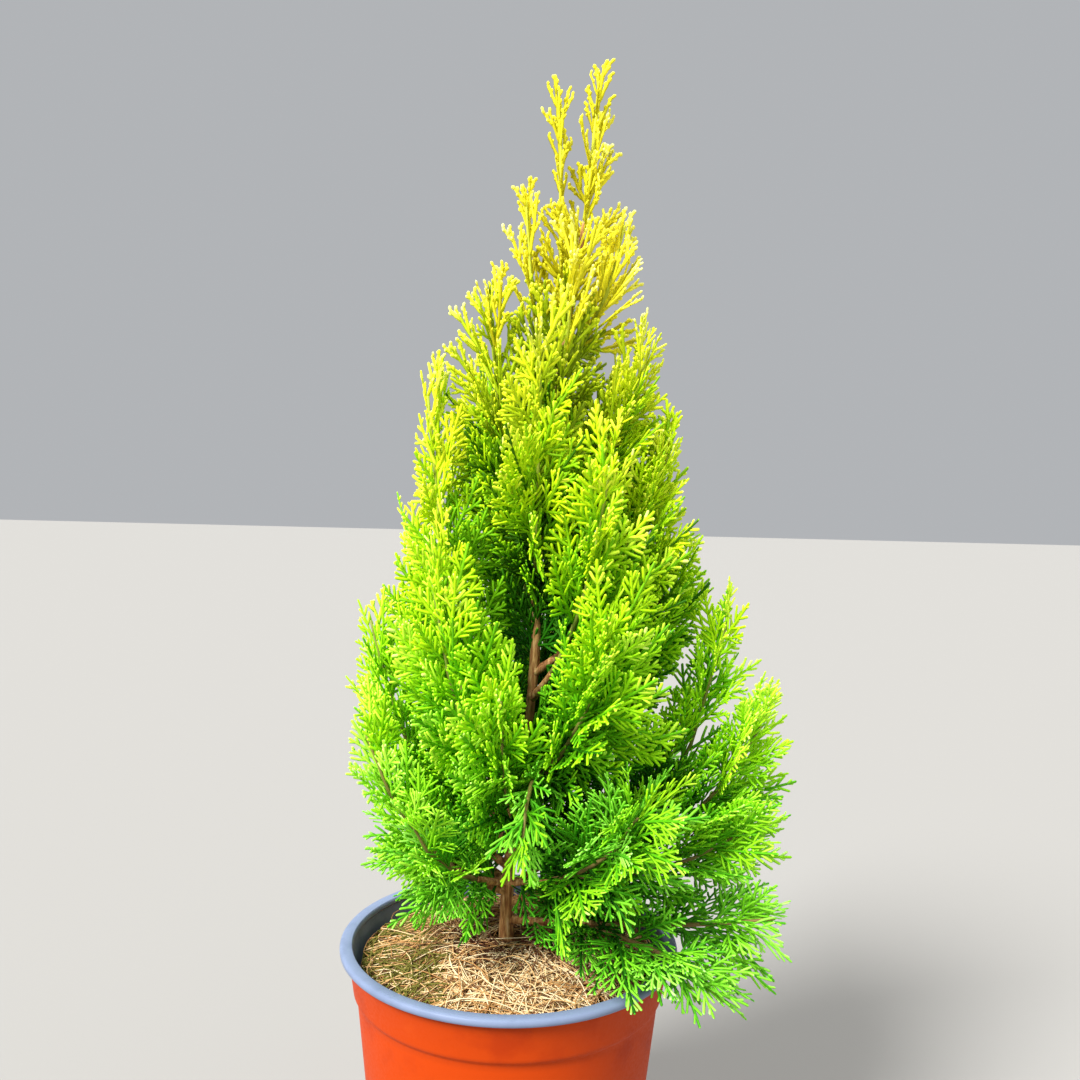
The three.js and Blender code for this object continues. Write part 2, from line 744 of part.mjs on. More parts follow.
function massSolid(row, index) {
  const axis = axisOf(row);
  const start = stemStart(row);
  const end = mix(start, 1, STEM_END + STEM_OVERRUN);
  const path = new Stretch(axis, start, end);
  const { core } = HABITS[row.habit];
  const radiusAt = (u) => {
    const stem = mix(STEM_RADIUS, STEM_TIP_RADIUS, u);
    const swell = core * row.width * Math.sin(Math.PI * u);
    return Math.max(stem, Math.min(swell, roomRound(path.getPointAt(u), row.name)));
  };
  const shape = core ? [CORE_STEPS, CORE_SIDES] : [STEM_STEPS, STEM_SIDES];
  let whole = solidOf(limbGeometry(path, ...shape, radiusAt));
  for (const spray of spraysOf(row, index)) {
    whole = whole.add(spray.solid());
  }
  if (!carriesOn(row)) whole = whole.subtract(parentSpace(row));
  return mainBody(whole);
}

function foliageColour(height) {
  if (height > GOLD_FROM) return COLOURS.gold;
  return height > LIME_FROM ? COLOURS.lime : COLOURS.green;
}

// The plant
const plant = new THREE.Group();

function addNode(name, solid, nodeMaterial) {
  const mesh = new THREE.Mesh(geometryOf(solid), nodeMaterial);
  mesh.name = name;
  plant.add(mesh);
}

addNode("pot", potSolid(), material(COLOURS.pot, 0.45));
addNode("pot_rim", lipSolid(), material(COLOURS.rim, 0.4));
addNode("compost", compostSolid(), material(COLOURS.compost, 0.95));
addNode("coir_cover", coirSolid(trunkSolid(COIR_HOLE_SPARE)), material(COLOURS.coir, 0.95));
addNode("trunk", cutTrunk(), material(COLOURS.bark, 0.85));

for (const row of rowList.filter((each) => each.bare)) {
  const solid = mainBody(boughSolid(row, 0).subtract(parentSpace(row)));
  addNode("bough_" + row.name, solid, material(COLOURS.bark, 0.85));
}

rowList.forEach((row, index) => {
  addNode("foliage_" + row.name, massSolid(row, index), material(foliageColour(row.tip[2]), 0.6));
});

export default plant;
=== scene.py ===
"""Looks of a young golden thuja in a plastic nursery pot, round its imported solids.

Sizes are in millimetres here and become metres where a mesh is made. +Z is up, the origin is
the middle of the pot's flat underside, and -Y is the plant's front.
"""

import logging
import math
from dataclasses import dataclass, field
from enum import Enum
from typing import Callable, NamedTuple, Sequence

import bpy
import numpy as np
from mathutils import Matrix, Vector, noise


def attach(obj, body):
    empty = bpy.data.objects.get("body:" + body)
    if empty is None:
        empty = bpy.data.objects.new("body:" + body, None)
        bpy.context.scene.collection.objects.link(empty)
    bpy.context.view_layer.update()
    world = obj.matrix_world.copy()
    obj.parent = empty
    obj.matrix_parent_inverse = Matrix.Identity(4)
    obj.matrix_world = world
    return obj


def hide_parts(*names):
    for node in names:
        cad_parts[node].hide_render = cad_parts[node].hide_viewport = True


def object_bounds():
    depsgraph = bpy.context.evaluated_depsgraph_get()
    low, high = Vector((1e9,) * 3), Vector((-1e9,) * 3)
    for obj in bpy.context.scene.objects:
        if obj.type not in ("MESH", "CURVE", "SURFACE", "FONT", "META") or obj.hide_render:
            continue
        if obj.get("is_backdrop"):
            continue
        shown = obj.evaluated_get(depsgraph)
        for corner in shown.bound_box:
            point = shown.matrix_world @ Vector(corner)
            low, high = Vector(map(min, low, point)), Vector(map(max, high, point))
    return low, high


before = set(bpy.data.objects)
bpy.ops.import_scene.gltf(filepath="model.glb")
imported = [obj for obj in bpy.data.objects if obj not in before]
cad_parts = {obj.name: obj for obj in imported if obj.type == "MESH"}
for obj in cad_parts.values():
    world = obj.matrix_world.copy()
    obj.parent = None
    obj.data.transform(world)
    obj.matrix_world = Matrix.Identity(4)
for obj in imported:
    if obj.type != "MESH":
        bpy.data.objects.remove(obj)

MM = 0.001
PHOTO_PIXELS = 1080
SAME_PLACE = 1e-6
TINY = 1e-9
SHARP_EDGE = math.radians(32)
FULL_TURN = 2 * math.pi
UP = np.array([0.0, 0.0, 1.0])

Three = tuple[float, float, float]
Range = tuple[float, float]
Part = tuple[np.ndarray, np.ndarray, np.ndarray]
Tone = Callable[[float, float], float]

log = logging.getLogger("thuja")


class Slot(Enum):
    """Names of material slots; nothing in this script uses them."""

    POT = "pot_plastic"
    RIM = "rim_plastic"
    COIR = "coir"
    BARK = "bark"
    FOLIAGE = "foliage"


# Small tools


def mix(a: float, b: float, share: float) -> float:
    """The value a share of the way from a to b."""
    return a + (b - a) * share


def unit(vector: np.ndarray) -> np.ndarray:
    """The vector at a length of one."""
    return vector / np.linalg.norm(vector)


def turned_about(vector: np.ndarray, axis: np.ndarray, angle: float) -> np.ndarray:
    """The vector turned about a unit axis, by an angle in radians."""
    along = axis * np.dot(axis, vector) * (1 - math.cos(angle))
    return vector * math.cos(angle) + np.cross(axis, vector) * math.sin(angle) + along


def halfway(first: str, second: str) -> str:
    """The sRGB hex colour midway between two."""
    pairs = [(int(first[i : i + 2], 16) + int(second[i : i + 2], 16)) // 2 for i in (1, 3, 5)]
    return "#" + "".join(f"{value:02x}" for value in pairs)


def linear(colour: str) -> tuple[float, float, float, float]:
    """An sRGB hex colour, with its hash, as linear red, green, blue and alpha."""
    knee, slope, offset, power = 0.04045, 12.92, 0.055, 2.4
    values = [int(colour[i : i + 2], 16) / 255 for i in (1, 3, 5)]
    channels = [v / slope if v <= knee else ((v + offset) / (1 + offset)) ** power for v in values]
    return (*channels, 1.0)


def add_node(
    material: bpy.types.Material,
    kind: str,
    settings: dict | None = None,
    links: dict | None = None,
) -> bpy.types.ShaderNode:
    """Adds a shader node with its settings and its links.

    Args:
        material: material whose tree takes the node.
        kind: the node's type without its ShaderNode prefix.
        settings: values by socket or property name; "stops" are a ramp's places and colours.
        links: output sockets by the name of the input that they go to.

    Returns:
        The new node.
    """
    tree = material.node_tree
    made = tree.nodes.new("ShaderNode" + kind)
    for name, value in (settings or {}).items():
        if name == "stops":
            for i, (place, colour) in enumerate(value):
                ramp = made.color_ramp.elements
                stop = ramp[i] if i < 2 else ramp.new(place)
                stop.position = place
                stop.color = linear(colour)
        elif name in made.inputs:
            made.inputs[name].default_value = value
        else:
            setattr(made, name, value)
    for name, source in (links or {}).items():
        tree.links.new(source, made.inputs[name])
    return made


def blank_material(name: str) -> bpy.types.Material:
    """A material with an empty node tree."""
    material = bpy.data.materials.new(name)
    material.use_nodes = True
    material.node_tree.nodes.clear()
    return material


def surfaced(material: bpy.types.Material, settings: dict, links: dict | None = None) -> bpy.types.Material:
    """The same material, its tree closed with a surface of some settings and links."""
    shader = add_node(material, "BsdfPrincipled", settings, links)
    add_node(material, "OutputMaterial", {}, {"Surface": shader.outputs["BSDF"]})
    return material


def joined(parts: Sequence[Part]) -> Part:
    """Several meshes' vertices, faces and tints as one."""
    vertices, faces, tints = zip(*parts)
    offsets = np.cumsum([0] + [len(points) for points in vertices[:-1]])
    moved = [triangles + offset for triangles, offset in zip(faces, offsets)]
    return np.concatenate(vertices), np.concatenate(moved), np.concatenate(tints)


def wall_faces(rings: int, sides: int) -> list[tuple[int, int, int]]:
    """Faces of a tube's wall, from each ring of corners to the next."""
    faces = []
    for low in range(0, (rings - 1) * sides, sides):
        for i in range(sides):
            a, b = low + i, low + (i + 1) % sides
            faces += [(a, b, a + sides), (b, b + sides, a + sides)]
    return faces


def copied(faces: np.ndarray, count: int, corners: int) -> np.ndarray:
    """The faces of a piece with that many corners, for each of its copies."""
    return (faces[None] + (np.arange(count) * corners)[:, None, None]).reshape(-1, 3)


def joined_mesh(
    name: str,
    vertices: np.ndarray,
    faces: np.ndarray,
    materials: Sequence[bpy.types.Material],
    tints: np.ndarray | None = None,
) -> bpy.types.Object:
    """Makes one smooth mesh object from arrays.

    Args:
        name: name of the piece.
        vertices: places in millimetres, one row each.
        faces: vertex indices of each triangle, one row each.
        materials: the piece's materials.
        tints: the material index of each face, or none for the first material.

    Returns:
        The piece, at the origin.
    """
    mesh = bpy.data.meshes.new(name)
    mesh.from_pydata((vertices * MM).tolist(), [], faces.tolist())
    for material in materials:
        mesh.materials.append(material)
    if tints is not None:
        mesh.polygons.foreach_set("material_index", tints.astype(np.int32))
    mesh.shade_smooth()
    mesh.update()
    made = bpy.data.objects.new(name, mesh)
    bpy.context.scene.collection.objects.link(made)
    return made


def pick(piece: bpy.types.Object) -> None:
    """Makes a piece the only selected one, and the active one."""
    bpy.ops.object.select_all(action="DESELECT")
    bpy.context.view_layer.objects.active = piece
    piece.select_set(True)


def dress(piece: bpy.types.Object, nodes: Sequence[str] = ()) -> None:
    """Puts a piece on the plant's body, in place of its solids.

    Args:
        piece: finished piece.
        nodes: solids that it stands for.
    """
    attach(piece, "root")
    if nodes:
        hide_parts(*nodes)
    log.info("%s: %d faces", piece.name, len(piece.data.polygons))


# Finishes


@dataclass(frozen=True)
class MouldedPlastic:
    """Injection-moulded polypropylene, satin, with a film of dust and fine handling scuffs.

    The moulding leaves a soft, slightly uneven sheen; soil dust dulls it in cloudy patches.
    Patches, specks and ripples each have a size in millimetres and a noise detail.
    """

    name: str
    colour: str
    shade: str
    dusty: str
    roughness: float
    steps: tuple[float, ...] = (0.3, 0.5, 0.68, 0.82)
    patches: Range = (14.0, 5.0)
    specks: Range = (1.1, 3.0)
    speck_levels: Range = (0.35, 0.7)
    scuffed: float = 0.16
    ripples: Range = (2.6, 2.0)
    ripple_strength: float = 0.12
    ripple_depth: float = 0.2
    specular: float = 0.14
    ior: float = 1.49

    def made(self) -> bpy.types.Material:
        """Builds the material."""
        material = blank_material(self.name)
        place = add_node(material, "TexCoord").outputs["Object"]
        patches, specks, ripples = (
            add_node(
                material, "TexNoise", {"Scale": 1 / (size * MM), "Detail": detail}, {"Vector": place}
            ).outputs["Fac"]
            for size, detail in (self.patches, self.specks, self.ripples)
        )
        stops = list(zip(self.steps, (self.shade, self.colour, self.colour, self.dusty)))
        ramp = add_node(material, "ValToRGB", {"stops": stops}, {"Fac": patches})
        low, high = self.speck_levels
        dull = self.roughness + self.scuffed
        levels = {"From Min": low, "From Max": high, "To Min": self.roughness, "To Max": dull}
        gloss = add_node(material, "MapRange", levels, {"Value": specks})
        depth = {"Strength": self.ripple_strength, "Distance": self.ripple_depth * MM}
        relief = add_node(material, "Bump", depth, {"Height": ripples})
        return surfaced(
            material,
            {"IOR": self.ior, "Specular IOR Level": self.specular},
            {
                "Base Color": ramp.outputs["Color"],
                "Roughness": gloss.outputs["Result"],
                "Normal": relief.outputs["Normal"],
            },
        )


@dataclass(frozen=True)
class Fibrous:
    """Bark, compost or coir: a dull stringy or crumbly stuff in several browns.

    Long grain shows as streaks along Z where stretch is above one.
    """

    name: str
    tones: tuple[tuple[float, str], ...]
    grain: float
    stretch: float = 1.0
    roughness: float = 0.85
    depth: float = 0.4
    detail: float = 6.0
    coarseness: float = 0.62
    strength: float = 0.7
    specular: float = 0.3

    def made(self) -> bpy.types.Material:
        """Builds the material."""
        material = blank_material(self.name)
        place = add_node(material, "TexCoord").outputs["Object"]
        drawn_out = add_node(material, "Mapping", {"Scale": (1, 1, 1 / self.stretch)}, {"Vector": place})
        grading = {"Scale": 1 / (self.grain * MM), "Detail": self.detail, "Roughness": self.coarseness}
        grain = add_node(material, "TexNoise", grading, {"Vector": drawn_out.outputs["Vector"]})
        fac = grain.outputs["Fac"]
        ramp = add_node(material, "ValToRGB", {"stops": self.tones}, {"Fac": fac})
        depth = {"Strength": self.strength, "Distance": self.depth * MM}
        relief = add_node(material, "Bump", depth, {"Height": fac})
        return surfaced(
            material,
            {"Roughness": self.roughness, "Specular IOR Level": self.specular},
            {"Base Color": ramp.outputs["Color"], "Normal": relief.outputs["Normal"]},
        )


@dataclass(frozen=True)
class Plain:
    """A thin fibre or a scale leaf in one tone, of several that are dealt out by piece.

    Scale leaves have a waxy skin, so they keep a soft highlight; dry fibres have hardly any.
    """

    name: str
    colour: str
    roughness: float
    specular: float

    def made(self) -> bpy.types.Material:
        """Builds the material."""
        finish = {"Roughness": self.roughness, "Specular IOR Level": self.specular}
        return surfaced(blank_material(self.name), {"Base Color": linear(self.colour), **finish})


@dataclass(frozen=True)
class YoungStem:
    """Thin stems of this year and last: bark-brown low in the crown, yellow-green at its top."""

    tones: tuple[tuple[float, str], ...] = (
        (0.0, "#8a7040"),
        (0.35, "#869038"),
        (0.7, "#a8b62e"),
        (1.0, "#d4d836"),
    )
    heights: Range = (140, 420)
    roughness: float = 0.6
    specular: float = 0.3

    def made(self) -> bpy.types.Material:
        """The material, coloured by height."""
        material = blank_material("young_stem")
        place = add_node(material, "TexCoord").outputs["Object"]
        height = add_node(material, "SeparateXYZ", {}, {"Vector": place}).outputs["Z"]
        low, high = self.heights
        levels = {"From Min": low * MM, "From Max": high * MM}
        share = add_node(material, "MapRange", levels, {"Value": height}).outputs["Result"]
        ramp = add_node(material, "ValToRGB", {"stops": self.tones}, {"Fac": share})
        return surfaced(
            material,
            {"Roughness": self.roughness, "Specular IOR Level": self.specular},
            {"Base Color": ramp.outputs["Color"]},
        )


# The rule that trunk, limbs and masses grow by


class Draws:
    """The same numbers in the same order for the same seed."""

    word = 0xFFFFFFFF
    stride = 0x6D2B79F5
    stirrer = 61

    def __init__(self, seed: int) -> None:
        """Starts the row of numbers."""
        self.state = seed

    def __call__(self) -> float:
        """The next number, from 0 to 1."""
        self.state = (self.state + self.stride) & self.word
        mixed = ((self.state ^ (self.state >> 15)) * (1 | self.state)) & self.word
        stirred = ((mixed ^ (mixed >> 7)) * (self.stirrer | mixed)) & self.word
        mixed = ((mixed + stirred) & self.word) ^ mixed
        return (mixed ^ (mixed >> 14)) / (self.word + 1)

    def between(self, low: float, high: float) -> float:
        """A number between two others."""
        return mix(low, high, self())

    def side(self) -> int:
        """One of two sides, as 1 or -1."""
        return 1 if self() > 0.5 else -1


@dataclass(frozen=True)
class Trunk:
    """The leader stem: a leaning line of [x, z] points in the plane y = 0, with a flared foot."""

    foot: float = 103.0
    top: float = 392.0
    line: tuple[tuple[float, float], ...] = (
        (-1, 100),
        (-1, 138),
        (4, 182),
        (7.5, 228),
        (7, 248),
        (9, 282),
        (12.5, 320),
        (22.5, 392),
    )
    radius: float = 2.5
    tip_radius: float = 0.95
    flare: float = 1.9
    flare_height: float = 9.0
    halvings: int = 24

    def at_share(self, share: float) -> np.ndarray:
        """A point of the centripetal curve through the line.

        Args:
            share: place on the curve, from 0 at the foot to 1 at the top.

        Returns:
            The point in millimetres.
        """
        points = [np.array([x, 0.0, z], float) for x, z in self.line]
        last = len(points) - 1
        whole = min(int(math.floor(last * share)), last - 1)
        part = last * share - whole
        before = points[whole - 1] if whole else 2 * points[0] - points[1]
        start, end = points[whole], points[whole + 1]
        after = points[whole + 2] if whole + 2 <= last else 2 * points[last] - points[last - 1]
        gaps = [np.linalg.norm(b - a) ** 0.5 for a, b in ((before, start), (start, end), (end, after))]
        first, middle, final = gaps
        slope_in = (start - before) / first - (end - before) / (first + middle) + (end - start) / middle
        slope_out = (end - start) / middle - (after - start) / (middle + final) + (after - end) / final
        slope_in, slope_out = slope_in * middle, slope_out * middle
        return (
            start
            + slope_in * part
            + (-3 * start + 3 * end - 2 * slope_in - slope_out) * part**2
            + (2 * start - 2 * end + slope_in + slope_out) * part**3
        )

    def point(self, height: float) -> np.ndarray:
        """The point of the trunk's line at a height."""
        low, high = 0.0, 1.0
        for _ in range(self.halvings):
            middle = (low + high) / 2
            if self.at_share(middle)[2] < height:
                low = middle
            else:
                high = middle
        return self.at_share(low)

    def radius_at(self, height: float) -> float:
        """The trunk's radius at a height, with its flare."""
        share = (height - self.foot) / (self.top - self.foot)
        flare = self.flare * math.exp(-max(height - self.foot, 0) / self.flare_height)
        return mix(self.radius, self.tip_radius, share) + flare


@dataclass(frozen=True)
class Habit:
    """How the sprays of a mass stand on its stem, and how their shoots branch.

    fill is how many finer sprays close the mass up for each of its main ones.
    """

    turn: float
    foot_angle: float
    tip_angle: float
    curl: float
    hang: float
    shoot_pitch: float
    shoot_angle: float
    shoot_radius: float
    knobs: float
    fill: float
    twiglet: float = 8.2
    tufted: bool = False


class Habits(Enum):
    """The habits that the masses of this crown have."""

    SPIRE = Habit(128, 30, 18, 0.06, 0.0, 4.2, 29, 0.82, 0.2, fill=1.7, tufted=True)
    PLUME = Habit(100, 44, 26, 0.1, 0.0, 3.7, 38, 0.65, 0.08, fill=5.6)
    FAN = Habit(180, 44, 27, 0.06, 0.03, 4.0, 37, 0.57, 0.06, fill=3.8, twiglet=9.5)
    SKIRT = Habit(150, 50, 32, 0.02, 0.12, 4.4, 31, 0.53, 0.03, fill=3.7, twiglet=12.5)


@dataclass(frozen=True)
class Mass:
    """One mass of foliage and its limb, from its fork out to its furthest tip.

    The fork is a height on the trunk, or a share of the bough that on names. bare is the share
    of the limb that is bark, sweep and arch bend it, and facing is the way its flat looks.
    """

    name: str
    fork: float
    tip: Three
    width: float
    sprays: int
    habit: Habits
    bare: float = 0.0
    on: str = ""
    sweep: float = 0.72
    arch: float = 0.0
    facing: Three | None = None


SPIRE, PLUME, FAN, SKIRT = Habits.SPIRE, Habits.PLUME, Habits.FAN, Habits.SKIRT
MASSES = (
    Mass("leader", 392, (27, 0, 452), 8, 6, SPIRE, sweep=0.4),
    Mass("leader_side", 346, (12, -4, 445), 9, 7, SPIRE),
    Mass("top_left", 322, (-1, -4, 407), 13, 7, SPIRE),
    Mass("top_right", 338, (39, -3, 396), 14, 7, SPIRE),
    Mass("top_front", 312, (19, -23, 390), 15, 7, SPIRE),
    Mass("top_back", 306, (17, 24, 396), 15, 6, SPIRE),
    Mass("upper_left", 268, (-14, -12, 364), 18, 8, PLUME),
    Mass("upper_front", 250, (7, -38, 346), 17, 7, PLUME),
    Mass("upper_right", 274, (50, -8, 350), 18, 8, PLUME),
    Mass("upper_back_left", 246, (-20, 36, 340), 20, 4, PLUME),
    Mass("upper_back_right", 256, (38, 36, 342), 20, 4, PLUME),
    Mass("left_shoulder", 146, (-36, -16, 336), 19, 9, PLUME, 0.33, sweep=0.62),
    Mass("left_mid", 0.8, (-46, 10, 288), 18, 7, PLUME, on="left_shoulder"),
    Mass("left_outer", 142, (-58, -6, 246), 18, 7, PLUME, 0.24),
    Mass("left_low", 132, (-56, -24, 204), 18, 7, PLUME, 0.26),
    Mass("left_foot", 0.6, (-50, -6, 164), 14, 5, SKIRT, on="left_low"),
    Mass("left_front", 166, (-30, -40, 262), 21, 6, PLUME, 0.22),
    Mass("left_front_low", 136, (-36, -42, 174), 18, 5, SKIRT, 0.24),
    Mass("front_low", 160, (-4, -48, 220), 17, 6, PLUME, 0.29),
    Mass("front_drooping", 0.8, (4, -60, 164), 10, 6, SKIRT, on="right_front", arch=16),
    Mass("centre_fan", 208, (33, -42, 304), 18, 6, PLUME, 0.2),
    Mass("right_front", 174, (34, -48, 246), 20, 6, PLUME, 0.23),
    Mass("right_front_low", 136, (46, -48, 180), 20, 7, SKIRT, 0.24),
    Mass("right_shoulder", 218, (60, -6, 316), 19, 9, PLUME, 0.17),
    Mass("right_mid", 184, (62, 6, 264), 19, 8, PLUME, 0.23),
    Mass("lobe_outer", 128, (97, -12, 208), 22, 10, FAN, 0.3, facing=(0, -1, 0.1)),
    Mass("lobe_top", 0.5, (84, -6, 254), 18, 10, FAN, on="lobe_outer", sweep=0.8, facing=(0, -1, 0)),
    Mass("lobe_low", 0.66, (90, -24, 168), 21, 9, FAN, on="right_front_low", facing=(0, -1, 0.3)),
    Mass("rim_spray", 121, (98, -38, 140), 20, 7, SKIRT, 0.24, arch=4, facing=(0, -0.5, 1)),
    Mass("rim_hanging", 0.7, (74, -54, 118), 18, 8, SKIRT, on="rim_spray", arch=8),
    Mass("back_left", 168, (-48, 42, 252), 21, 4, PLUME, 0.23),
    Mass("back", 176, (2, 56, 264), 21, 4, PLUME, 0.23),
    Mass("back_right", 198, (46, 44, 262), 21, 4, PLUME, 0.23),
    Mass("back_low_left", 136, (-48, 36, 184), 20, 4, SKIRT, 0.24),
    Mass("back_low", 142, (2, 58, 194), 20, 4, SKIRT, 0.24),
    Mass("back_low_right", 134, (54, 40, 186), 20, 4, SKIRT, 0.24),
)


@dataclass(frozen=True)
class Axis:
    """A limb's curve: a quadratic one from its foot, past its bend, to its tip."""

    foot: np.ndarray
    bend: np.ndarray
    tip: np.ndarray

    steps = 40

    def point(self, share: float) -> np.ndarray:
        """The point at a share of the curve's parameter."""
        rest = 1 - share
        return rest**2 * self.foot + 2 * rest * share * self.bend + share**2 * self.tip

    def tangent(self, share: float) -> np.ndarray:
        """The unit direction at a share of the curve's parameter."""
        return unit((1 - share) * (self.bend - self.foot) + share * (self.tip - self.bend))

    def length(self, share: float = 1.0) -> float:
        """The length of the curve up to a share of it."""
        points = np.array([self.point(share * i / self.steps) for i in range(self.steps + 1)])
        return float(np.linalg.norm(np.diff(points, axis=0), axis=1).sum())


@dataclass(frozen=True)
class Beads:
    """Balls along a limb or a mass, which clearances are measured from."""

    centres: np.ndarray
    radii: np.ndarray

    def outside(self, points: np.ndarray) -> np.ndarray:
        """How far each point is outside the nearest ball."""
        gaps = np.linalg.norm(points[:, None, :] - self.centres[None], axis=2) - self.radii[None]
        return gaps.min(axis=1)


@dataclass(frozen=True)
class Clearance:
    """How far a spray keeps from the other masses' spaces and the limbs, and fills a cleft."""

    neighbours: float
    limbs: float
    into_cleft: float = 0.0


@dataclass(frozen=True)
class Outline:
    """The crown's outline: at each height its reach to left, right, and front and back.

    A height's section is the ellipse through those.
    """

    rows: tuple[tuple[float, float, float, float], ...] = (
        (84, -20, 84, 58),
        (104, -30, 100, 62),
        (122, -42, 112, 66),
        (147, -52, 102, 70),
        (182, -58, 104, 70),
        (205, -64, 102, 68),
        (236, -60, 92, 64),
        (262, -50, 76, 60),
        (291, -44, 66, 54),
        (325, -41, 60, 46),
        (345, -36, 52, 40),
        (364, -20, 46, 34),
        (385, -12, 44, 28),
        (408, -4, 40, 20),
        (430, 3, 35, 12),
        (456, 8, 32, 7),
    )
    spare: float = 1.1

    def share(self, points: np.ndarray) -> np.ndarray:
        """How far out each point is: 0 in the middle of its section, 1 on the outline."""
        heights, left, right, depth = np.array(self.rows, float).T
        x, y, z = points.T
        low, high = np.interp(z, heights, left), np.interp(z, heights, right)
        across = (x - (low + high) / 2) / ((high - low) / 2)
        return np.hypot(across, y / np.interp(z, heights, depth))

    def holds(self, points: np.ndarray) -> bool:
        """Whether all points are in the outline."""
        z = points[:, 2]
        inside = (z > self.rows[0][0]) & (z < self.rows[-1][0])
        return bool((inside & (self.share(points) < self.spare)).all())


class Plan:
    """Where every limb and mass runs, and the space that each may fill.

    A cleft is a range of x and one of z that stays open at the crown's front.
    """

    lift = 0.24
    bough_radius = 1.45
    bough_tip_radius = 0.95
    joint_gap = 0.34
    spindle_steps = 10
    spindle_end = 0.45
    small_step = 1e-3
    bead_spacing = 1.5
    pot_height = 115.0
    rim_radius = 65.0
    pot_gap = 1.1
    swell_from = 0.1
    clefts = (((1, 13), (208, 250)), ((-7, 5), (104, 160)))

    def __init__(self, trunk: Trunk, masses: Sequence[Mass], outline: Outline) -> None:
        """Lays every limb and every mass's space once."""
        self.trunk = trunk
        self.outline = outline
        self.masses = list(masses)
        self.rows = {mass.name: mass for mass in masses}
        self.axes: dict[str, Axis] = {}
        for mass in masses:
            self.axis(mass)
        spindles = [self.spindle(mass) for mass in masses]
        self.spindle_centres = np.stack([each.centres for each in spindles])
        self.spindle_radii = np.stack([each.radii for each in spindles])
        self.limbs = self.limb_beads()

    def axis(self, mass: Mass) -> Axis:
        """The curve of a mass's limb: outwards first, then upwards."""
        if mass.name not in self.axes:
            if mass.on:
                parent = self.rows[mass.on]
                foot = self.axis(parent).point(mass.fork * parent.bare)
            else:
                foot = self.trunk.point(mass.fork)
            tip = np.array(mass.tip, float)
            bend = mix(foot, tip, mass.sweep)
            bend[2] = mix(foot[2], tip[2], self.lift) + mass.arch
            self.axes[mass.name] = Axis(foot, bend, tip)
        return self.axes[mass.name]

    def stem_start(self, mass: Mass) -> float:
        """The share of its axis where a mass's stem starts."""
        if not mass.bare and mass.fork != self.trunk.top:
            return 0.0
        axis = self.axis(mass)
        ahead = axis.point(mass.bare + self.small_step)
        speed = np.linalg.norm(ahead - axis.point(mass.bare)) / self.small_step
        return mass.bare + self.joint_gap / speed

    def spindle(self, mass: Mass) -> Beads:
        """The spindle that stands for a mass, as wide as it is."""
        axis, start = self.axis(mass), self.stem_start(mass)
        shares = [i / self.spindle_steps for i in range(self.spindle_steps + 1)]
        centres = np.array([axis.point(mix(start, 1, share)) for share in shares])
        ends = (self.swell_from, 1 - self.swell_from)
        swell = [math.sin(math.pi * mix(*ends, share)) for share in shares]
        radii = np.array([mass.width * mix(self.spindle_end, 1, each) for each in swell])
        return Beads(centres, radii)

    def limb_beads(self) -> Beads:
        """Trunk and boughs as balls."""
        centres, radii = [], []
        for height in np.arange(self.trunk.foot, self.trunk.top, self.bead_spacing):
            centres.append(self.trunk.point(height))
            radii.append(self.trunk.radius_at(height))
        for mass in self.masses:
            if mass.bare:
                axis = self.axis(mass)
                count = math.ceil(axis.length(mass.bare) / self.bead_spacing)
                for i in range(count + 1):
                    centres.append(axis.point(i / count * mass.bare))
                    radii.append(mix(self.bough_radius, self.bough_tip_radius, i / count))
        return Beads(np.array(centres), np.array(radii))

    def fits(self, points: np.ndarray, index: int | None, clearance: Clearance) -> bool:
        """Whether points keep to a mass's own space, clear of limbs, pot and clefts.

        Args:
            points: places in millimetres, one row each.
            index: number of the mass in the table, or none for sprays on the trunk.
            clearance: how far the points keep off.

        Returns:
            True where every point does.
        """
        if index is not None:
            gaps = points[:, None, None, :] - self.spindle_centres[None]
            each = (np.linalg.norm(gaps, axis=3) - self.spindle_radii[None]).min(axis=2)
            own = each[:, index].copy()
            each[:, index] = np.inf
            if (each.min(axis=1) - own < clearance.neighbours).any():
                return False
        if (self.limbs.outside(points) < clearance.limbs).any():
            return False
        x, y, z = points.T
        fill = clearance.into_cleft
        for (left, right), (low, high) in self.clefts:
            inside = (y < 0) & (x > left + fill) & (x < right - fill)
            if (inside & (z > low + fill) & (z < high - fill)).any():
                return False
        reach = np.hypot(x, y)
        over, beside = self.pot_height + self.pot_gap, self.rim_radius + self.pot_gap
        return bool(((z > over) | (reach > beside)).all())


# Sprays


def laid(
    local: np.ndarray,
    root: np.ndarray,
    along: np.ndarray,
    across: np.ndarray,
    length: np.ndarray | float,
    curl: np.ndarray | float,
    hang: np.ndarray | float,
) -> np.ndarray:
    """Points of a spray's own frame in the plant's, with its curl and its hang.

    Args:
        local: points as x from the root, y across and z through the flat.
        root: where the spray stands, or a row for each of many sprays.
        along: unit direction of its x.
        across: unit direction of its y.
        length: its length.
        curl: how far its tip bends sideways, for its length.
        hang: how far its tip sinks, for its length.

    Returns:
        The points in millimetres.
    """
    bend = local[..., 0] ** 2 / length
    return (
        root
        + local[..., :1] * along
        + (local[..., 1] - curl * bend)[..., None] * across
        + local[..., 2:] * np.cross(along, across)
        - (hang * bend)[..., None] * UP
    )


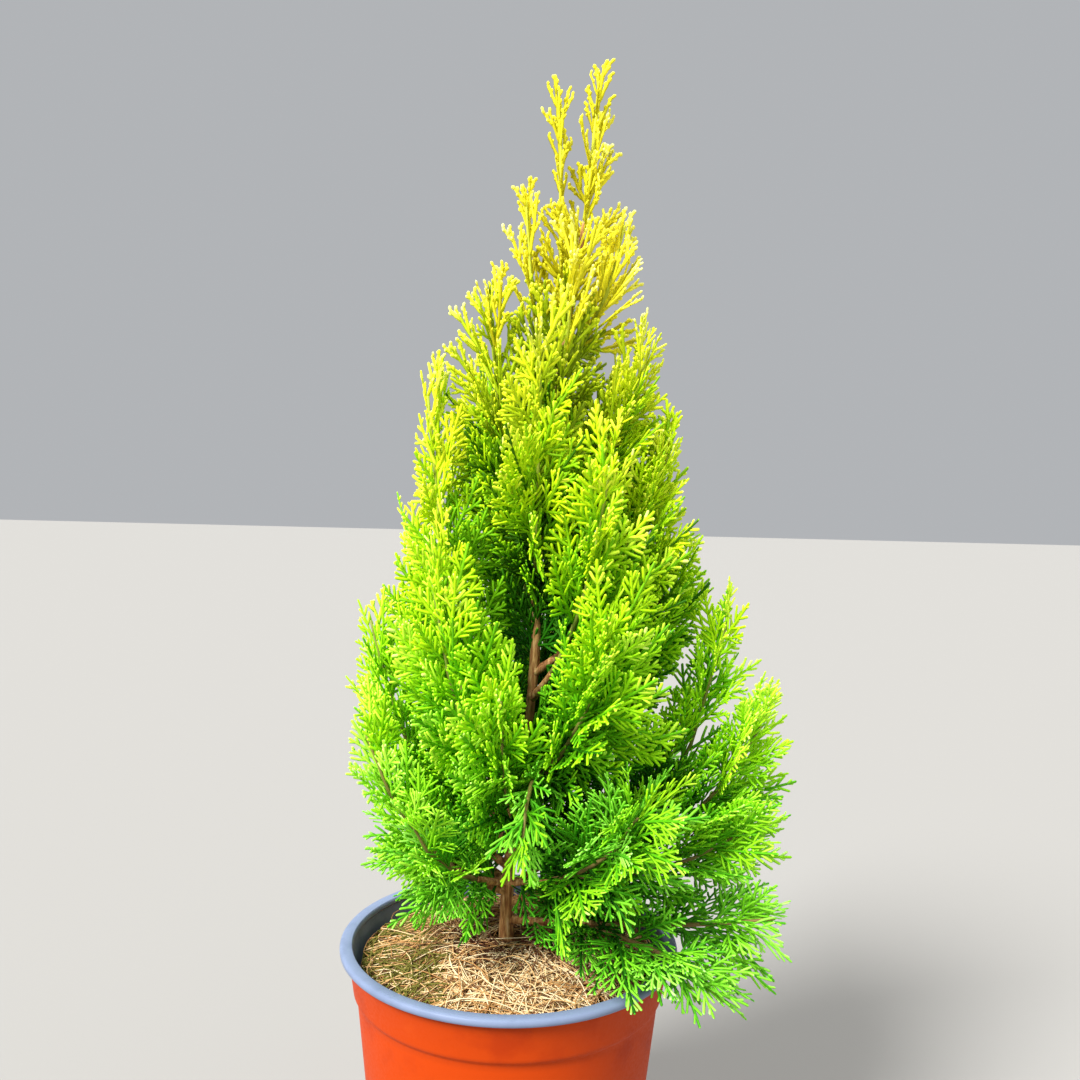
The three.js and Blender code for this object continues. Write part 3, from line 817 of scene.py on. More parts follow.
@dataclass(frozen=True)
class Spray:
    """A flat spray in a frame of its own: x from its root, y across, z through its flat."""

    root: np.ndarray
    along: np.ndarray
    across: np.ndarray
    length: float
    width: float
    slope: float
    habit: Habit
    seed: int

    stalk_width = 0.7
    stalk_share = 0.12
    foot_swell = 0.1
    swell_power = 0.85
    face_spacing = 2.2
    face_sides = (-1, -0.5, 0, 0.5, 1)

    def half_width(self, share: float) -> float:
        """Half the spray's width at a share of its length."""
        inside = max(share - self.stalk_share, 0) / (1 - self.stalk_share)
        swell = math.sin(math.pi * min(1, mix(self.foot_swell, 1, inside)) ** self.swell_power)
        return (self.stalk_width + self.width * swell) / 2

    def inner_width(self, share: float) -> float:
        """Its half width towards the stem, where it stops short of crossing it."""
        room = max(share * self.length * self.slope, self.stalk_width / 2)
        return min(self.half_width(share), room)

    def height(self, share: float) -> float:
        """The height at a share of its straight length."""
        return self.root[2] + self.along[2] * self.length * share

    def face(self) -> np.ndarray:
        """Points over the spray, a few millimetres apart."""
        count = math.ceil(self.length / self.face_spacing)
        local = []
        for i in range(count + 1):
            share = mix(self.stalk_share, 1, i / count)
            for side in self.face_sides:
                width = self.inner_width(share) if side < 0 else self.half_width(share)
                local.append((share * self.length, side * width, 0))
        frame_of_own = (self.root, self.along, self.across, self.length)
        return laid(np.array(local), *frame_of_own, self.habit.curl, self.habit.hang)


@dataclass(frozen=True)
class Seat:
    """Where a spray stands on its limb, and how it lies there."""

    root: np.ndarray
    along: np.ndarray
    across: np.ndarray
    slope: float
    habit: Habit

    def spray(self, length: float, width: float, seed: int) -> Spray:
        """The spray of a length and a width that stands here."""
        return Spray(self.root, self.along, self.across, length, width, self.slope, self.habit, seed)


@dataclass(frozen=True)
class Growth:
    """How sprays are set on the limbs.

    First come the source's numbers for the main sprays of a mass, then those of the finer ones
    between them, then those of the short ones on the trunk and on the boughs' bark.
    """

    stem_end: float = 0.62
    first: float = 0.08
    reach: float = 3.0
    widest: float = 1.5
    slimness: float = 0.6
    turn_spread: float = 9
    twist_spread: float = 16
    length_spread: float = 0.1
    foot_length: float = 1.05
    tip_length: float = 0.85
    open_angle: float = 70
    inner_share: float = 0.7
    shortenings: tuple[float, ...] = (1, 0.85, 0.72, 0.6, 0.5, 0.4)
    room: Clearance = Clearance(neighbours=1.9, limbs=1.1)
    seeds: int = 100

    finer_seed: int = 1000
    finer_first_seed: int = 40
    finer_shares: Range = (-0.1, 0.93)
    finer_places: Range = (0.2, 0.8)
    finer_foot: float = 0.06
    finer_turn: float = 137.5
    finer_turns: Range = (-20, 20)
    finer_angles: Range = (-5, 9)
    finer_vigours: Range = (0.8, 1.15)
    finer_lengths: Range = (0.95, 0.5)
    finer_twists: Range = (-35, 35)
    finer_slimness: float = 0.62
    finer_shortenings: tuple[float, ...] = (1, 0.8, 0.64, 0.5)
    finer_room: Clearance = Clearance(neighbours=-7, limbs=0.3, into_cleft=4.2)
    finer_spare: float = 1.0
    low_spare: float = 1.07
    skirt_drop: float = 10
    below_tip: float = 3

    limb_seed: int = 9000
    trunk_heights: Range = (150, 4)
    trunk_spacing: float = 2.2
    trunk_length: float = 40
    trunk_taper: float = 0.5
    bough_spacing: float = 2.6
    bough_length: float = 32
    bough_first: int = 2
    limb_angle: float = 50
    limb_angles: Range = (-14, 8)
    limb_twists: Range = (-24, 24)
    limb_vigours: Range = (0.85, 1.15)
    limb_slope: float = 1.0
    limb_room: Clearance = Clearance(neighbours=0, limbs=-0.4, into_cleft=5)
    limb_buried: int = 20
    skirted_below: float = 160


class Crown:
    """All sprays of the crown, grown by the source's rule and filled in with finer ones."""

    def __init__(self, plan: Plan, growth: Growth) -> None:
        """Takes the plan that the sprays keep to, and the numbers that they grow by."""
        self.plan = plan
        self.growth = growth

    def stem_point(self, mass: Mass, at: float) -> np.ndarray:
        """A point of a mass's stem, which runs straight to the tip past its last fork."""
        axis = self.plan.axis(mass)
        fork = mix(self.plan.stem_start(mass), 1, self.growth.stem_end)
        if at <= fork:
            return axis.point(at)
        return mix(axis.point(fork), axis.tip, (at - fork) / (1 - fork))

    @staticmethod
    def seat(
        root: np.ndarray,
        tangent: np.ndarray,
        side: np.ndarray,
        turns: Three,
        slope: float,
        habit: Habit,
        tip: np.ndarray | None = None,
    ) -> Seat:
        """A seat for a spray on a limb.

        Args:
            root: the limb's middle where the spray stands.
            tangent: the way that the limb runs there.
            side: the way that the spray leans where it isn't turned round the limb.
            turns: its turn round the limb, its angle to it and its twist, in degrees.
            slope: how fast its inner side widens.
            habit: the habit that it grows in.
            tip: where it ends, if it carries the limb on.

        Returns:
            The seat.
        """
        turn, lean, twist = (math.radians(each) for each in turns)
        radial = turned_about(side, tangent, turn)
        ahead = tangent * math.cos(lean) + radial * math.sin(lean) if tip is None else tip - root
        direction = unit(ahead)
        flat = turned_about(np.cross(tangent, radial), direction, twist)
        return Seat(root, direction, unit(np.cross(flat, direction)), slope, habit)

    def stem_seat(self, mass: Mass, at: float, turns: Three, last: bool = False) -> Seat:
        """A seat on a mass's stem.

        Args:
            mass: mass that the spray belongs to.
            at: share of the mass's axis where it is rooted.
            turns: its turn round the stem, its angle to it and its twist, in degrees.
            last: whether it carries the stem on to the mass's tip.

        Returns:
            The seat.
        """
        axis = self.plan.axis(mass)
        tangent = axis.tangent(at)
        facing = unit(np.array(mass.facing or (mass.tip[0], mass.tip[1], 0), float))
        side = unit(np.cross(facing, tangent))
        opening = self.growth.open_angle if last else turns[1]
        slope = math.tan(math.radians(opening)) * self.growth.inner_share
        tip = axis.tip if last else None
        return self.seat(self.stem_point(mass, at), tangent, side, turns, slope, mass.habit.value, tip)

    def main_sprays(self, index: int) -> list[Spray]:
        """The sprays that the solids have, drawn in the same order from the same seed."""
        grow, mass = self.growth, self.plan.masses[index]
        draw, habit = Draws(index + 1), mass.habit.value
        axis, start = self.plan.axis(mass), self.plan.stem_start(mass)
        sprays = []
        for i in range(mass.sprays):
            last = i == mass.sprays - 1
            share = 1 if last else i / (mass.sprays - 1)
            at = mix(start, 1, mix(grow.first, grow.stem_end, share))
            turn = i * habit.turn + draw.between(-grow.turn_spread, grow.turn_spread)
            angle = mix(habit.foot_angle, habit.tip_angle, share)
            vigour = draw.between(1 - grow.length_spread, 1 + grow.length_spread)
            reach = mass.width * grow.reach * mix(grow.foot_length, grow.tip_length, share) * vigour
            twist = draw.between(-grow.twist_spread, grow.twist_spread)
            seat = self.stem_seat(mass, at, (turn, angle, twist), last)
            full = np.linalg.norm(axis.tip - axis.point(at)) if last else reach
            for short in grow.shortenings:
                long = full if last else full * short
                wide = min(long * grow.slimness, mass.width * grow.widest) * (short if last else 1)
                spray = seat.spray(long, wide, grow.seeds * index + i)
                face = spray.face()
                inside = last or self.plan.outline.holds(face)
                if inside and self.plan.fits(face, index, grow.room):
                    sprays.append(spray)
                    break
        return sprays

    def finer_sprays(self, index: int) -> list[Spray]:
        """Shorter sprays between the main ones, which close the mass up."""
        grow, mass = self.growth, self.plan.masses[index]
        draw, habit = Draws(grow.finer_seed + index), mass.habit.value
        start = self.plan.stem_start(mass)
        count = round(mass.sprays * habit.fill)
        sprays = []
        for i in range(count):
            share = (i + draw.between(*grow.finer_places)) / count
            at = max(mix(start, 1, mix(*grow.finer_shares, share)), grow.finer_foot)
            turn = i * grow.finer_turn + draw.between(*grow.finer_turns)
            angle = mix(habit.foot_angle, habit.tip_angle, share) + draw.between(*grow.finer_angles)
            vigour = draw.between(*grow.finer_vigours)
            length = mix(*grow.finer_lengths, share)
            seat = self.stem_seat(mass, at, (turn, angle, draw.between(*grow.finer_twists)))
            for short in grow.finer_shortenings:
                long = mass.width * grow.reach * length * vigour * short
                wide = min(long * grow.finer_slimness, mass.width * grow.widest)
                spray = seat.spray(long, wide, grow.seeds * index + grow.finer_first_seed + i)
                face = spray.face()
                if self.stays(mass, face) and self.plan.fits(face, index, grow.finer_room):
                    sprays.append(spray)
                    break
        return sprays

    def stays(self, mass: Mass, face: np.ndarray) -> bool:
        """Whether a finer spray keeps to the crown's outline, and to its mass's tip."""
        grow, heights = self.growth, face[:, 2]
        if mass.habit is Habits.SPIRE and heights.max() > mass.tip[2] - grow.below_tip:
            return False
        lowest = min(self.plan.axis(mass).foot[2], mass.tip[2]) - grow.skirt_drop
        if mass.habit is Habits.SKIRT and heights.min() < lowest:
            return False
        spare = grow.low_spare if mass.habit in (Habits.FAN, Habits.SKIRT) else grow.finer_spare
        return self.plan.outline.holds(face) and self.plan.outline.share(face).max() < spare

    def limb_stands(self) -> list[tuple[np.ndarray, np.ndarray, float]]:
        """Places on the trunk and on the boughs' bark, each with the limb's direction and a length."""
        grow, trunk = self.growth, self.plan.trunk
        stands = []
        lowest, below_top = grow.trunk_heights
        for height in np.arange(lowest, trunk.top - below_top, grow.trunk_spacing):
            root = trunk.point(height)
            taper = mix(1, grow.trunk_taper, (height - lowest) / (trunk.top - lowest))
            stands.append((root, unit(trunk.point(height + 1) - root), grow.trunk_length * taper))
        for mass in self.plan.masses:
            axis = self.plan.axis(mass)
            bark = axis.length(mass.bare) if mass.bare else 0
            for i in range(grow.bough_first, math.floor(bark / grow.bough_spacing)):
                at = mass.bare * i * grow.bough_spacing / bark
                stands.append((axis.point(at), axis.tangent(at), grow.bough_length))
        return stands

    def limb_sprays(self) -> list[Spray]:
        """Short sprays on the trunk and on the boughs' bark, which close the crown's inside."""
        grow, draw = self.growth, Draws(self.growth.limb_seed)
        sprays = []
        for number, (root, tangent, full) in enumerate(self.limb_stands()):
            turn = number * grow.finer_turn + draw.between(*grow.finer_turns)
            angle = grow.limb_angle + draw.between(*grow.limb_angles)
            turns = (turn, angle, draw.between(*grow.limb_twists))
            side = unit(np.cross(tangent, UP + [0, 1, 0]))
            habit = (Habits.SKIRT if root[2] < grow.skirted_below else Habits.PLUME).value
            seat = self.seat(root, tangent, side, turns, grow.limb_slope, habit)
            for short in grow.finer_shortenings:
                long = full * short * draw.between(*grow.limb_vigours)
                spray = seat.spray(long, long * grow.slimness, grow.limb_seed + number)
                outer = spray.face()[grow.limb_buried :]
                if self.plan.outline.holds(outer) and self.plan.fits(outer, None, grow.limb_room):
                    sprays.append(spray)
                    break
        return sprays


class Shoot(NamedTuple):
    """One shoot in its spray's own frame: its foot, its heading, its rise and its tone."""

    spray: int
    x: float
    y: float
    z: float
    heading: float
    length: float
    radius: float
    tilt: float
    tone: float

    def at(self, reach: float, bow: float) -> Three:
        """The place at a length along it; its bow straightens it towards its tip."""
        mean = self.heading * (1 - bow / 2 * reach / self.length)
        x, y = self.x + reach * math.cos(mean), self.y + reach * math.sin(mean)
        return x, y, self.z + reach * self.tilt


@dataclass
class Filling:
    """The shoots of one spray: its rib, its side shoots and their own short shoots.

    Lengths are in millimetres and angles in degrees. A pair is the range of a dealt number.
    """

    spray: Spray
    number: int
    tone: Tone
    rows: list[Shoot]

    bow = 0.22
    seed_step = 7919
    rib_chance = 0.5

    tufted_from = 345
    tufted_blend = (-16, 16)
    tuft_radius = 0.78
    tuft_side_radius = 0.95
    tuft_first = 0.12
    tuft_end = 5
    tuft_pitch = 5.4
    tuft_pitches = (0.75, 1.25)
    tuft_angle = 22
    tuft_angles = (0.75, 1.15)
    tuft_spare = 2.5
    tuft_shortest = 3
    tuft_lengths = (7, 15)
    tuft_tilts = (-0.3, 0.3)

    knobs = (0.9, 2.3, 3.9, 5.6)
    knob_reach = 0.8
    knob_heading = 0.8
    knob_angles = (24, 36)
    knob_lengths = (1.7, 2.5)

    rib_pitch = 8.4
    rib_share = 0.85
    rib_radius = 1.08
    rib_pitches = (0.85, 1.15)
    rib_first = 0.06
    rib_end = 2.2
    side_angles = (0.86, 1.14)
    side_lengths = (0.78, 1.04)
    side_tilts = (-0.16, 0.22)
    side_shortest = 1.3
    sparse = 1.5
    branched_from = 2
    between_lengths = (4.5, 8)
    between_tilts = (0.1, 0.5)

    twig_radius = 0.95
    twig_first = (2.4, 3.8)
    twig_end = 1.6
    twig_share = 0.8
    twig_spare = 1.5
    twig_lengths = (0.6, 1)
    twig_angles = (33, 42)
    twig_tilts = (-0.1, 0.12)
    twig_pitches = (0.8, 1.2)

    room_step = 0.7
    room_steps = 40
    room_share = 1.02
    room_width = 0.4

    def __post_init__(self) -> None:
        """Starts the spray's own row of numbers."""
        self.draw = Draws(self.seed_step * (self.spray.seed + 1))

    def add(
        self, foot: Three, heading: float, length: float, radius: float, tilt: float, tone: float
    ) -> Shoot:
        """Adds one shoot."""
        shoot = Shoot(self.number, *foot, heading, length, radius, tilt, tone)
        self.rows.append(shoot)
        return shoot

    def grow(self) -> None:
        """Fills the spray: as a slender one near the crown's top, else as a broad one."""
        tip, high = self.spray.height(1), self.tufted_from
        if self.spray.habit.tufted or tip > high + self.draw.between(*self.tufted_blend):
            self.slender()
        else:
            self.broad()

    def slender(self) -> None:
        """A spray of the top: a long rib and few side shoots, each with a knobby tip."""
        length, draw = self.spray.length, self.draw
        rib_tone = self.tone(0, self.rib_chance)
        self.tuft(self.add((0, 0, 0), 0, length, self.tuft_radius, 0, rib_tone))
        x, side = length * self.tuft_first, draw.side()
        radius = self.tuft_radius * self.tuft_side_radius
        while x < length - self.tuft_end:
            lean = math.radians(self.tuft_angle) * draw.between(*self.tuft_angles)
            long = min(self.room(x, side, lean) + self.tuft_spare, draw.between(*self.tuft_lengths))
            if long > self.tuft_shortest:
                tilt = draw.between(*self.tuft_tilts)
                tint = self.tone(x, draw())
                self.tuft(self.add((x, 0, 0), side * lean, long, radius, tilt, tint))
            side = -side
            x += self.tuft_pitch * draw.between(*self.tuft_pitches)

    def tuft(self, shoot: Shoot) -> None:
        """Sets the knobs near a shoot's tip."""
        draw = self.draw
        turn = draw.side()
        for back in self.knobs:
            if back < self.knob_reach * shoot.length:
                foot = shoot.at(shoot.length - back, self.bow)
                lean = math.radians(draw.between(*self.knob_angles))
                heading = shoot.heading * self.knob_heading + turn * lean
                length = draw.between(*self.knob_lengths)
                tint = self.tone(foot[0], 1)
                self.add(foot, heading, length, self.tuft_radius, draw.between(*self.tuft_tilts), tint)
            turn = -turn

    def broad(self) -> None:
        """A broad spray: side shoots with short shoots of their own."""
        spray, habit, draw = self.spray, self.spray.habit, self.draw
        angle, radius = math.radians(habit.shoot_angle), habit.shoot_radius
        rib_tone = self.tone(0, self.rib_chance)
        self.add((0, 0, 0), 0, spray.length, radius * self.rib_radius, 0, rib_tone)
        pitch = min(max(self.rib_share * spray.width / 2, habit.shoot_pitch), self.rib_pitch)
        last = spray.length - self.rib_end
        x, side = spray.length * self.rib_first, draw.side()
        while x < last:
            lean = angle * draw.between(*self.side_angles)
            length = self.room(x, side, lean) * draw.between(*self.side_lengths)
            if length > self.side_shortest:
                tilt = draw.between(*self.side_tilts)
                tint = self.tone(x, draw())
                shoot = self.add((x, 0, 0), side * lean, length, radius, tilt, tint)
                if length > self.branched_from * habit.shoot_pitch:
                    self.branch(shoot)
            if pitch > self.sparse * habit.shoot_pitch:
                foot = x + pitch / 2 * draw.between(*self.rib_pitches)
                short = min(self.room(foot, side, lean), draw.between(*self.between_lengths))
                if short > self.side_shortest and foot < last:
                    tilt = draw.between(*self.between_tilts)
                    tint = self.tone(foot, draw())
                    self.add((foot, 0, 0), side * lean, short, radius, tilt, tint)
            side = -side
            x += pitch / 2 * draw.between(*self.rib_pitches)

    def branch(self, shoot: Shoot) -> None:
        """Sets short shoots on both sides of a side shoot."""
        habit, draw = self.spray.habit, self.draw
        radius = habit.shoot_radius * self.twig_radius
        place = draw.between(*self.twig_first)
        turn = draw.side()
        while place < shoot.length - self.twig_end:
            room = min(habit.twiglet, (shoot.length - place) * self.twig_share + self.twig_spare)
            length = room * draw.between(*self.twig_lengths)
            foot = shoot.at(place, self.bow)
            heading = shoot.heading + turn * math.radians(draw.between(*self.twig_angles))
            tint = self.tone(foot[0], draw())
            tilt = shoot.tilt + draw.between(*self.twig_tilts)
            self.add(foot, heading, length, radius, tilt, tint)
            turn = -turn
            place += habit.shoot_pitch / 2 * draw.between(*self.twig_pitches)

    def room(self, x: float, side: int, lean: float) -> float:
        """How long a side shoot may be from a place on the rib before it leaves the spray."""
        width_at = self.spray.half_width if side > 0 else self.spray.inner_width
        room = 0.0
        for guess in range(1, self.room_steps):
            reach = guess * self.room_step
            share = (x + reach * math.cos(lean)) / self.spray.length
            edge = width_at(min(share, 1)) + self.room_width
            if share > self.room_share or reach * math.sin(lean) > edge:
                break
            room = reach
        return room


@dataclass
class Shoots:
    """The scale-leaved shoots of many sprays, made into one mesh."""

    rows: list[Shoot] = field(default_factory=list)
    sprays: list[Spray] = field(default_factory=list)

    ring_pitch = 2.7
    least_rings = 2
    most_rings = 40
    sides = 4
    flatness = 0.62
    taper = 0.14
    blunt = 0.75
    bluntest = 0.3
    waist = 0.8
    dip = -0.5
    fresh_length = 2.2
    fresh_shortest = 3
    fresh_step = 0.6

    def grow(self, spray: Spray, tone: Tone) -> None:
        """Fills a spray with shoots, each as light as its tone says: darker deep in the crown, partly
        painted shade, lighter towards the spray's tip and by chance.
        """
        Filling(spray, len(self.sprays), tone, self.rows).grow()
        self.sprays.append(spray)

    def mesh(self, shades: int) -> Part:
        """Makes the mesh of all shoots.

        Args:
            shades: how many shades a tone is dealt into.

        Returns:
            Vertices in millimetres, faces, and the shade of each face.
        """
        data, lengths = np.array(self.rows), np.array([shoot.length for shoot in self.rows])
        rings = np.round(lengths / self.ring_pitch) + 1
        counts = np.clip(rings, self.least_rings, self.most_rings).astype(int)
        groups = [(data[counts == count], int(count)) for count in np.unique(counts)]
        return joined([self.ringed(rows, count, shades) for rows, count in groups])

    def ringed(self, rows: np.ndarray, count: int, shades: int) -> Part:
        """Shoots with the same number of rings, flattened, with a blunt tip."""
        number, x, y, z, heading, length, radius, tilt, tone = rows.T
        chosen = [self.sprays[int(i)] for i in number]
        knobs = np.array([each.habit.knobs for each in chosen])
        blunt = np.minimum(self.blunt * radius / length, self.bluntest)
        share = np.linspace(0, 1, count)[None] * (1 - blunt[:, None])
        share = np.concatenate([share, np.ones((len(rows), 1))], axis=1)
        course = heading[:, None] * (1 - Filling.bow * share)
        step = np.diff(share, axis=1, prepend=0.0) * length[:, None]
        px = x[:, None] + np.cumsum(step * np.cos(course), axis=1)
        py = y[:, None] + np.cumsum(step * np.sin(course), axis=1)
        pz = z[:, None] + tilt[:, None] * share * length[:, None]
        beat = 1 + knobs[:, None] * np.where(np.arange(count + 1) % 2, 1, self.dip)[None]
        size = radius[:, None] * (1 - self.taper * share) * beat
        size[:, 0] = radius * self.waist
        size[:, count - 1] = radius * self.waist * (1 + knobs)
        angles = FULL_TURN / self.sides * np.arange(self.sides)
        out = size[:, :count, None] * np.cos(angles)
        lift = size[:, :count, None] * np.sin(angles) * self.flatness
        course = course[:, :count, None]
        corners = (
            px[:, :count, None] - np.sin(course) * out,
            py[:, :count, None] + np.cos(course) * out,
            pz[:, :count, None] + lift,
        )
        local = np.stack(corners, axis=-1).reshape(len(rows), count * self.sides, 3)
        apex = np.stack([px[:, -1], py[:, -1], pz[:, -1]], axis=-1)[:, None, :]
        triangles, along = self.ring_faces(count)
        faces = copied(triangles, len(rows), count * self.sides + 1)
        fresh = 1 - self.fresh_length / np.maximum(length[:, None], self.fresh_shortest)
        level = tone[:, None] + self.fresh_step * (along[None] > fresh)
        tints = np.clip(np.floor(level), 0, shades - 1)
        placed = self.placed(np.concatenate([local, apex], axis=1), chosen)
        return placed.reshape(-1, 3), faces, tints.reshape(-1)

    @staticmethod
    def placed(local: np.ndarray, chosen: Sequence[Spray]) -> np.ndarray:
        """Local points of many shoots, a row for each, in the plant's frame."""
        vectors = ([each.root, each.along, each.across] for each in chosen)
        root, along, across = (np.array(rows)[:, None, :] for rows in zip(*vectors))
        numbers = ([each.length, each.habit.curl, each.habit.hang] for each in chosen)
        length, curl, hang = (np.array(rows)[:, None] for rows in zip(*numbers))
        return laid(local, root, along, across, length, curl, hang)

    def ring_faces(self, count: int) -> tuple[np.ndarray, np.ndarray]:
        """Faces of one shoot, and how far along it each lies."""
        sides = self.sides
        foot = [(0, i + 1, i) for i in range(1, sides - 1)]
        wall = wall_faces(count, sides)
        top = (count - 1) * sides
        tip = [(top + i, top + (i + 1) % sides, top + sides) for i in range(sides)]
        levels = np.repeat((np.arange(count - 1) + 0.5) / count, 2 * sides)
        along = np.concatenate([np.zeros(len(foot)), levels, np.ones(sides)])
        return np.array(foot + wall + tip), along


@dataclass(frozen=True)
class Greens:
    """The leaf colours of one storey of the crown, from the darkest, dealt deep inside as painted shade and
    the inside's own deeper green, to the fresh tips.
    """

    name: str
    colours: tuple[str, ...]
    roughness: float = 0.6
    specular: float = 0.14

    def towards(self, above: "Greens") -> "Greens":
        """The colours halfway to the next storey's."""
        colours = tuple(halfway(a, b) for a, b in zip(self.colours, above.colours))
        return Greens(f"{self.name}_{above.name}", colours)

    def made(self) -> list[bpy.types.Material]:
        """One waxy material for each colour."""
        return [
            Plain(f"scale_leaf_{self.name}_{i}", colour, self.roughness, self.specular).made()
            for i, colour in enumerate(self.colours)
        ]


@dataclass
class Foliage:
    """The leaves and the twigs of the whole crown.

    A leaf's tone counts the shades of its storey: it grows with how far out the leaf is, how
    near its spray's tip, and by chance. Being deep inside makes a leaf darker: partly painted
    shade, partly the inside's own deeper green. A spray's lot makes all of it darker or lighter.
    """

    plan: Plan
    growth: Growth = Growth()
    storeys: tuple[float, ...] = (146, 189, 231, 274, 316, 355)
    storey_blend: Range = (-15, 15)
    greens: tuple[Greens, ...] = (
        Greens("low", ("#1e5e06", "#489c10", "#78c820", "#96e640", "#acf872")),
        Greens("middle", ("#266a05", "#62b008", "#a0e010", "#c6f63a", "#e0fe78")),
        Greens("upper", ("#3c6e03", "#88bc06", "#c4e60e", "#e6f838", "#f6fe7c")),
        Greens("top", ("#c2ba12", "#e4de24", "#fcf032", "#fefa60", "#fffd94")),
    )
    skirt_greens: Greens = Greens("skirt", ("#1c5808", "#4aa014", "#7acc2c", "#9ae64e", "#b4fa7e"))
    skirt_share: float = 0.6
    lots: Range = (-0.55, 0.6)
    # How much lighter a leaf is for being further out in the crown: painted shade deep inside, partly the
    # inside's own deeper green.
    painted_shade_and_green_weight: float = 0.8
    painted_shade_and_green_power: float = 1.1
    painted_shade_and_green_cap: float = 1.1
    tip_weight: float = 0.18
    chance_weight: float = 0.08
    top_shades: float = 1.2
    tint_seed: int = 50000
    stem_radii: Range = (1.1, 0.45)
    stem_end: float = 0.92
    stem_rings: int = 22
    stem_sides: int = 6

    def tone(self, spray: Spray, draw: Draws) -> Tone:
        """How light each shoot of a spray is: dark deep inside the crown, partly painted shade and partly
        the inside's own deeper green, fresh and light at its outside.
        """
        lightest = len(self.greens[0].colours) - self.top_shades
        lot = draw.between(*self.lots)

        def of_shoot(x: float, chance: float) -> float:
            """The tone of a shoot that stands that far along the spray."""
            place = spray.root + spray.along * x
            # Leaves further out get lighter tones and those deep inside darker ones: partly painted shade,
            # partly the inside's own deeper green. This sum also holds the real fresh tip and chance.
            out = min(float(self.plan.outline.share(place[None])[0]), self.painted_shade_and_green_cap)
            fresh = self.painted_shade_and_green_weight * out**self.painted_shade_and_green_power
            fresh += self.tip_weight * x / spray.length
            fresh += self.chance_weight * (chance - 0.5)
            return min(fresh, 1) * lightest + lot

        return of_shoot

    def storey(self, spray: Spray, draw: Draws) -> int:
        """The storey that a spray takes its colours from; the skirt's comes after the others."""
        height = spray.height(0.5) + draw.between(*self.storey_blend)
        if spray.habit is Habits.SKIRT.value and draw() < self.skirt_share:
            return len(self.storeys) + 1
        return sum(height > level for level in self.storeys)

    def build(self) -> None:
        """Builds the leaves of each mass as one piece, and all twigs as another."""
        storeys = list(self.greens[:1])
        for below, above in zip(self.greens, self.greens[1:]):
            storeys += [below.towards(above), above]
        materials = [each.made() for each in storeys + [self.skirt_greens]]
        crown = Crown(self.plan, self.growth)
        twigs = Tubes()
        total = 0
        for index, mass in enumerate(self.plan.masses):
            sprays = crown.main_sprays(index) + crown.finer_sprays(index)
            total += self.leaves(mass.name, sprays, materials, index, ["foliage_" + mass.name])
            self.stem(crown, mass, twigs)
        total += self.leaves("inner", crown.limb_sprays(), materials, len(self.plan.masses), [])
        log.info("leaves: %d triangles in all", total)
        dress(joined_mesh("twigs", *twigs.mesh(), [YoungStem().made()]))

    def leaves(
        self,
        name: str,
        sprays: Sequence[Spray],
        materials: Sequence[Sequence[bpy.types.Material]],
        number: int,
        nodes: Sequence[str],
    ) -> int:
        """Builds the leaves on some sprays as one piece.

        Args:
            name: what the piece is called after its kind.
            sprays: the sprays that its leaves grow on.
            materials: the materials of each storey.
            number: which piece it is; its tints are dealt from it.
            nodes: solids that it stands for.

        Returns:
            The number of its triangles.
        """
        draw = Draws(self.tint_seed + number)
        shades = len(materials[0])
        by_storey = [Shoots() for _ in materials]
        for spray in sprays:
            shoots = by_storey[self.storey(spray, draw)]
            shoots.grow(spray, self.tone(spray, draw))
        parts = []
        for level, shoots in enumerate(by_storey):
            if shoots.rows:
                vertices, faces, tints = shoots.mesh(shades)
                parts.append((vertices, faces, tints + level * shades))
        vertices, faces, tints = joined(parts)
        flat = [material for storey in materials for material in storey]
        used = np.unique(tints).astype(int)
        chosen = [flat[i] for i in used]
        piece = joined_mesh("leaves_" + name, vertices, faces, chosen, np.searchsorted(used, tints))
        dress(piece, nodes)
        return len(faces)

    def stem(self, crown: Crown, mass: Mass, twigs: "Tubes") -> None:
        """Adds the stem of a mass, from its limb to where its last spray carries it on."""
        start = self.plan.stem_start(mass)
        shares = np.linspace(0, self.stem_end, self.stem_rings)
        points = [crown.stem_point(mass, mix(start, 1, share)) for share in shares]
        radii = [mix(*self.stem_radii, share) for share in shares]
        twigs.add(np.array(points), np.array(radii), self.stem_sides)

# Wood


@dataclass
class Tubes:
    """Round limbs along lines of points, joined as one mesh."""

    parts: list[Part] = field(default_factory=list)

    aside = np.array([0.0, 1.0, 0.02])

    def add(
        self, points: np.ndarray, radii: np.ndarray, sides: int, relief: np.ndarray | None = None
    ) -> None:
        """Adds a closed tube.

        Args:
            points: its middle line.
            radii: its radius at each point.
            sides: corners of its section.
            relief: how far each corner of each ring stands out, or none for a smooth tube.
        """
        tangents = np.gradient(points, axis=0)
        tangents /= np.linalg.norm(tangents, axis=1)[:, None]
        side = unit(np.cross(tangents[0], self.aside))
        angle = np.arange(sides) / sides * FULL_TURN
        rings = []
        for i, (point, tangent) in enumerate(zip(points, tangents)):
            side = unit(side - tangent * np.dot(side, tangent))
            other = np.cross(tangent, side)
            size = radii[i] + (relief[i] if relief is not None else 0)
            ring = np.cos(angle)[:, None] * side + np.sin(angle)[:, None] * other
            rings.append(point + ring * np.broadcast_to(size, sides)[:, None])
        whole = np.concatenate([*rings, points[:1], points[-1:]])
        low, high = len(whole) - 2, len(whole) - 1
        end = (len(points) - 1) * sides
        faces = wall_faces(len(points), sides)
        for i in range(sides):
            faces.append((low, (i + 1) % sides, i))
            faces.append((high, end + i, end + (i + 1) % sides))
        self.parts.append((whole, np.array(faces), np.zeros(len(faces))))

    def mesh(self) -> tuple[np.ndarray, np.ndarray]:
        """Vertices and faces of all tubes."""
        return joined(self.parts)[:2]


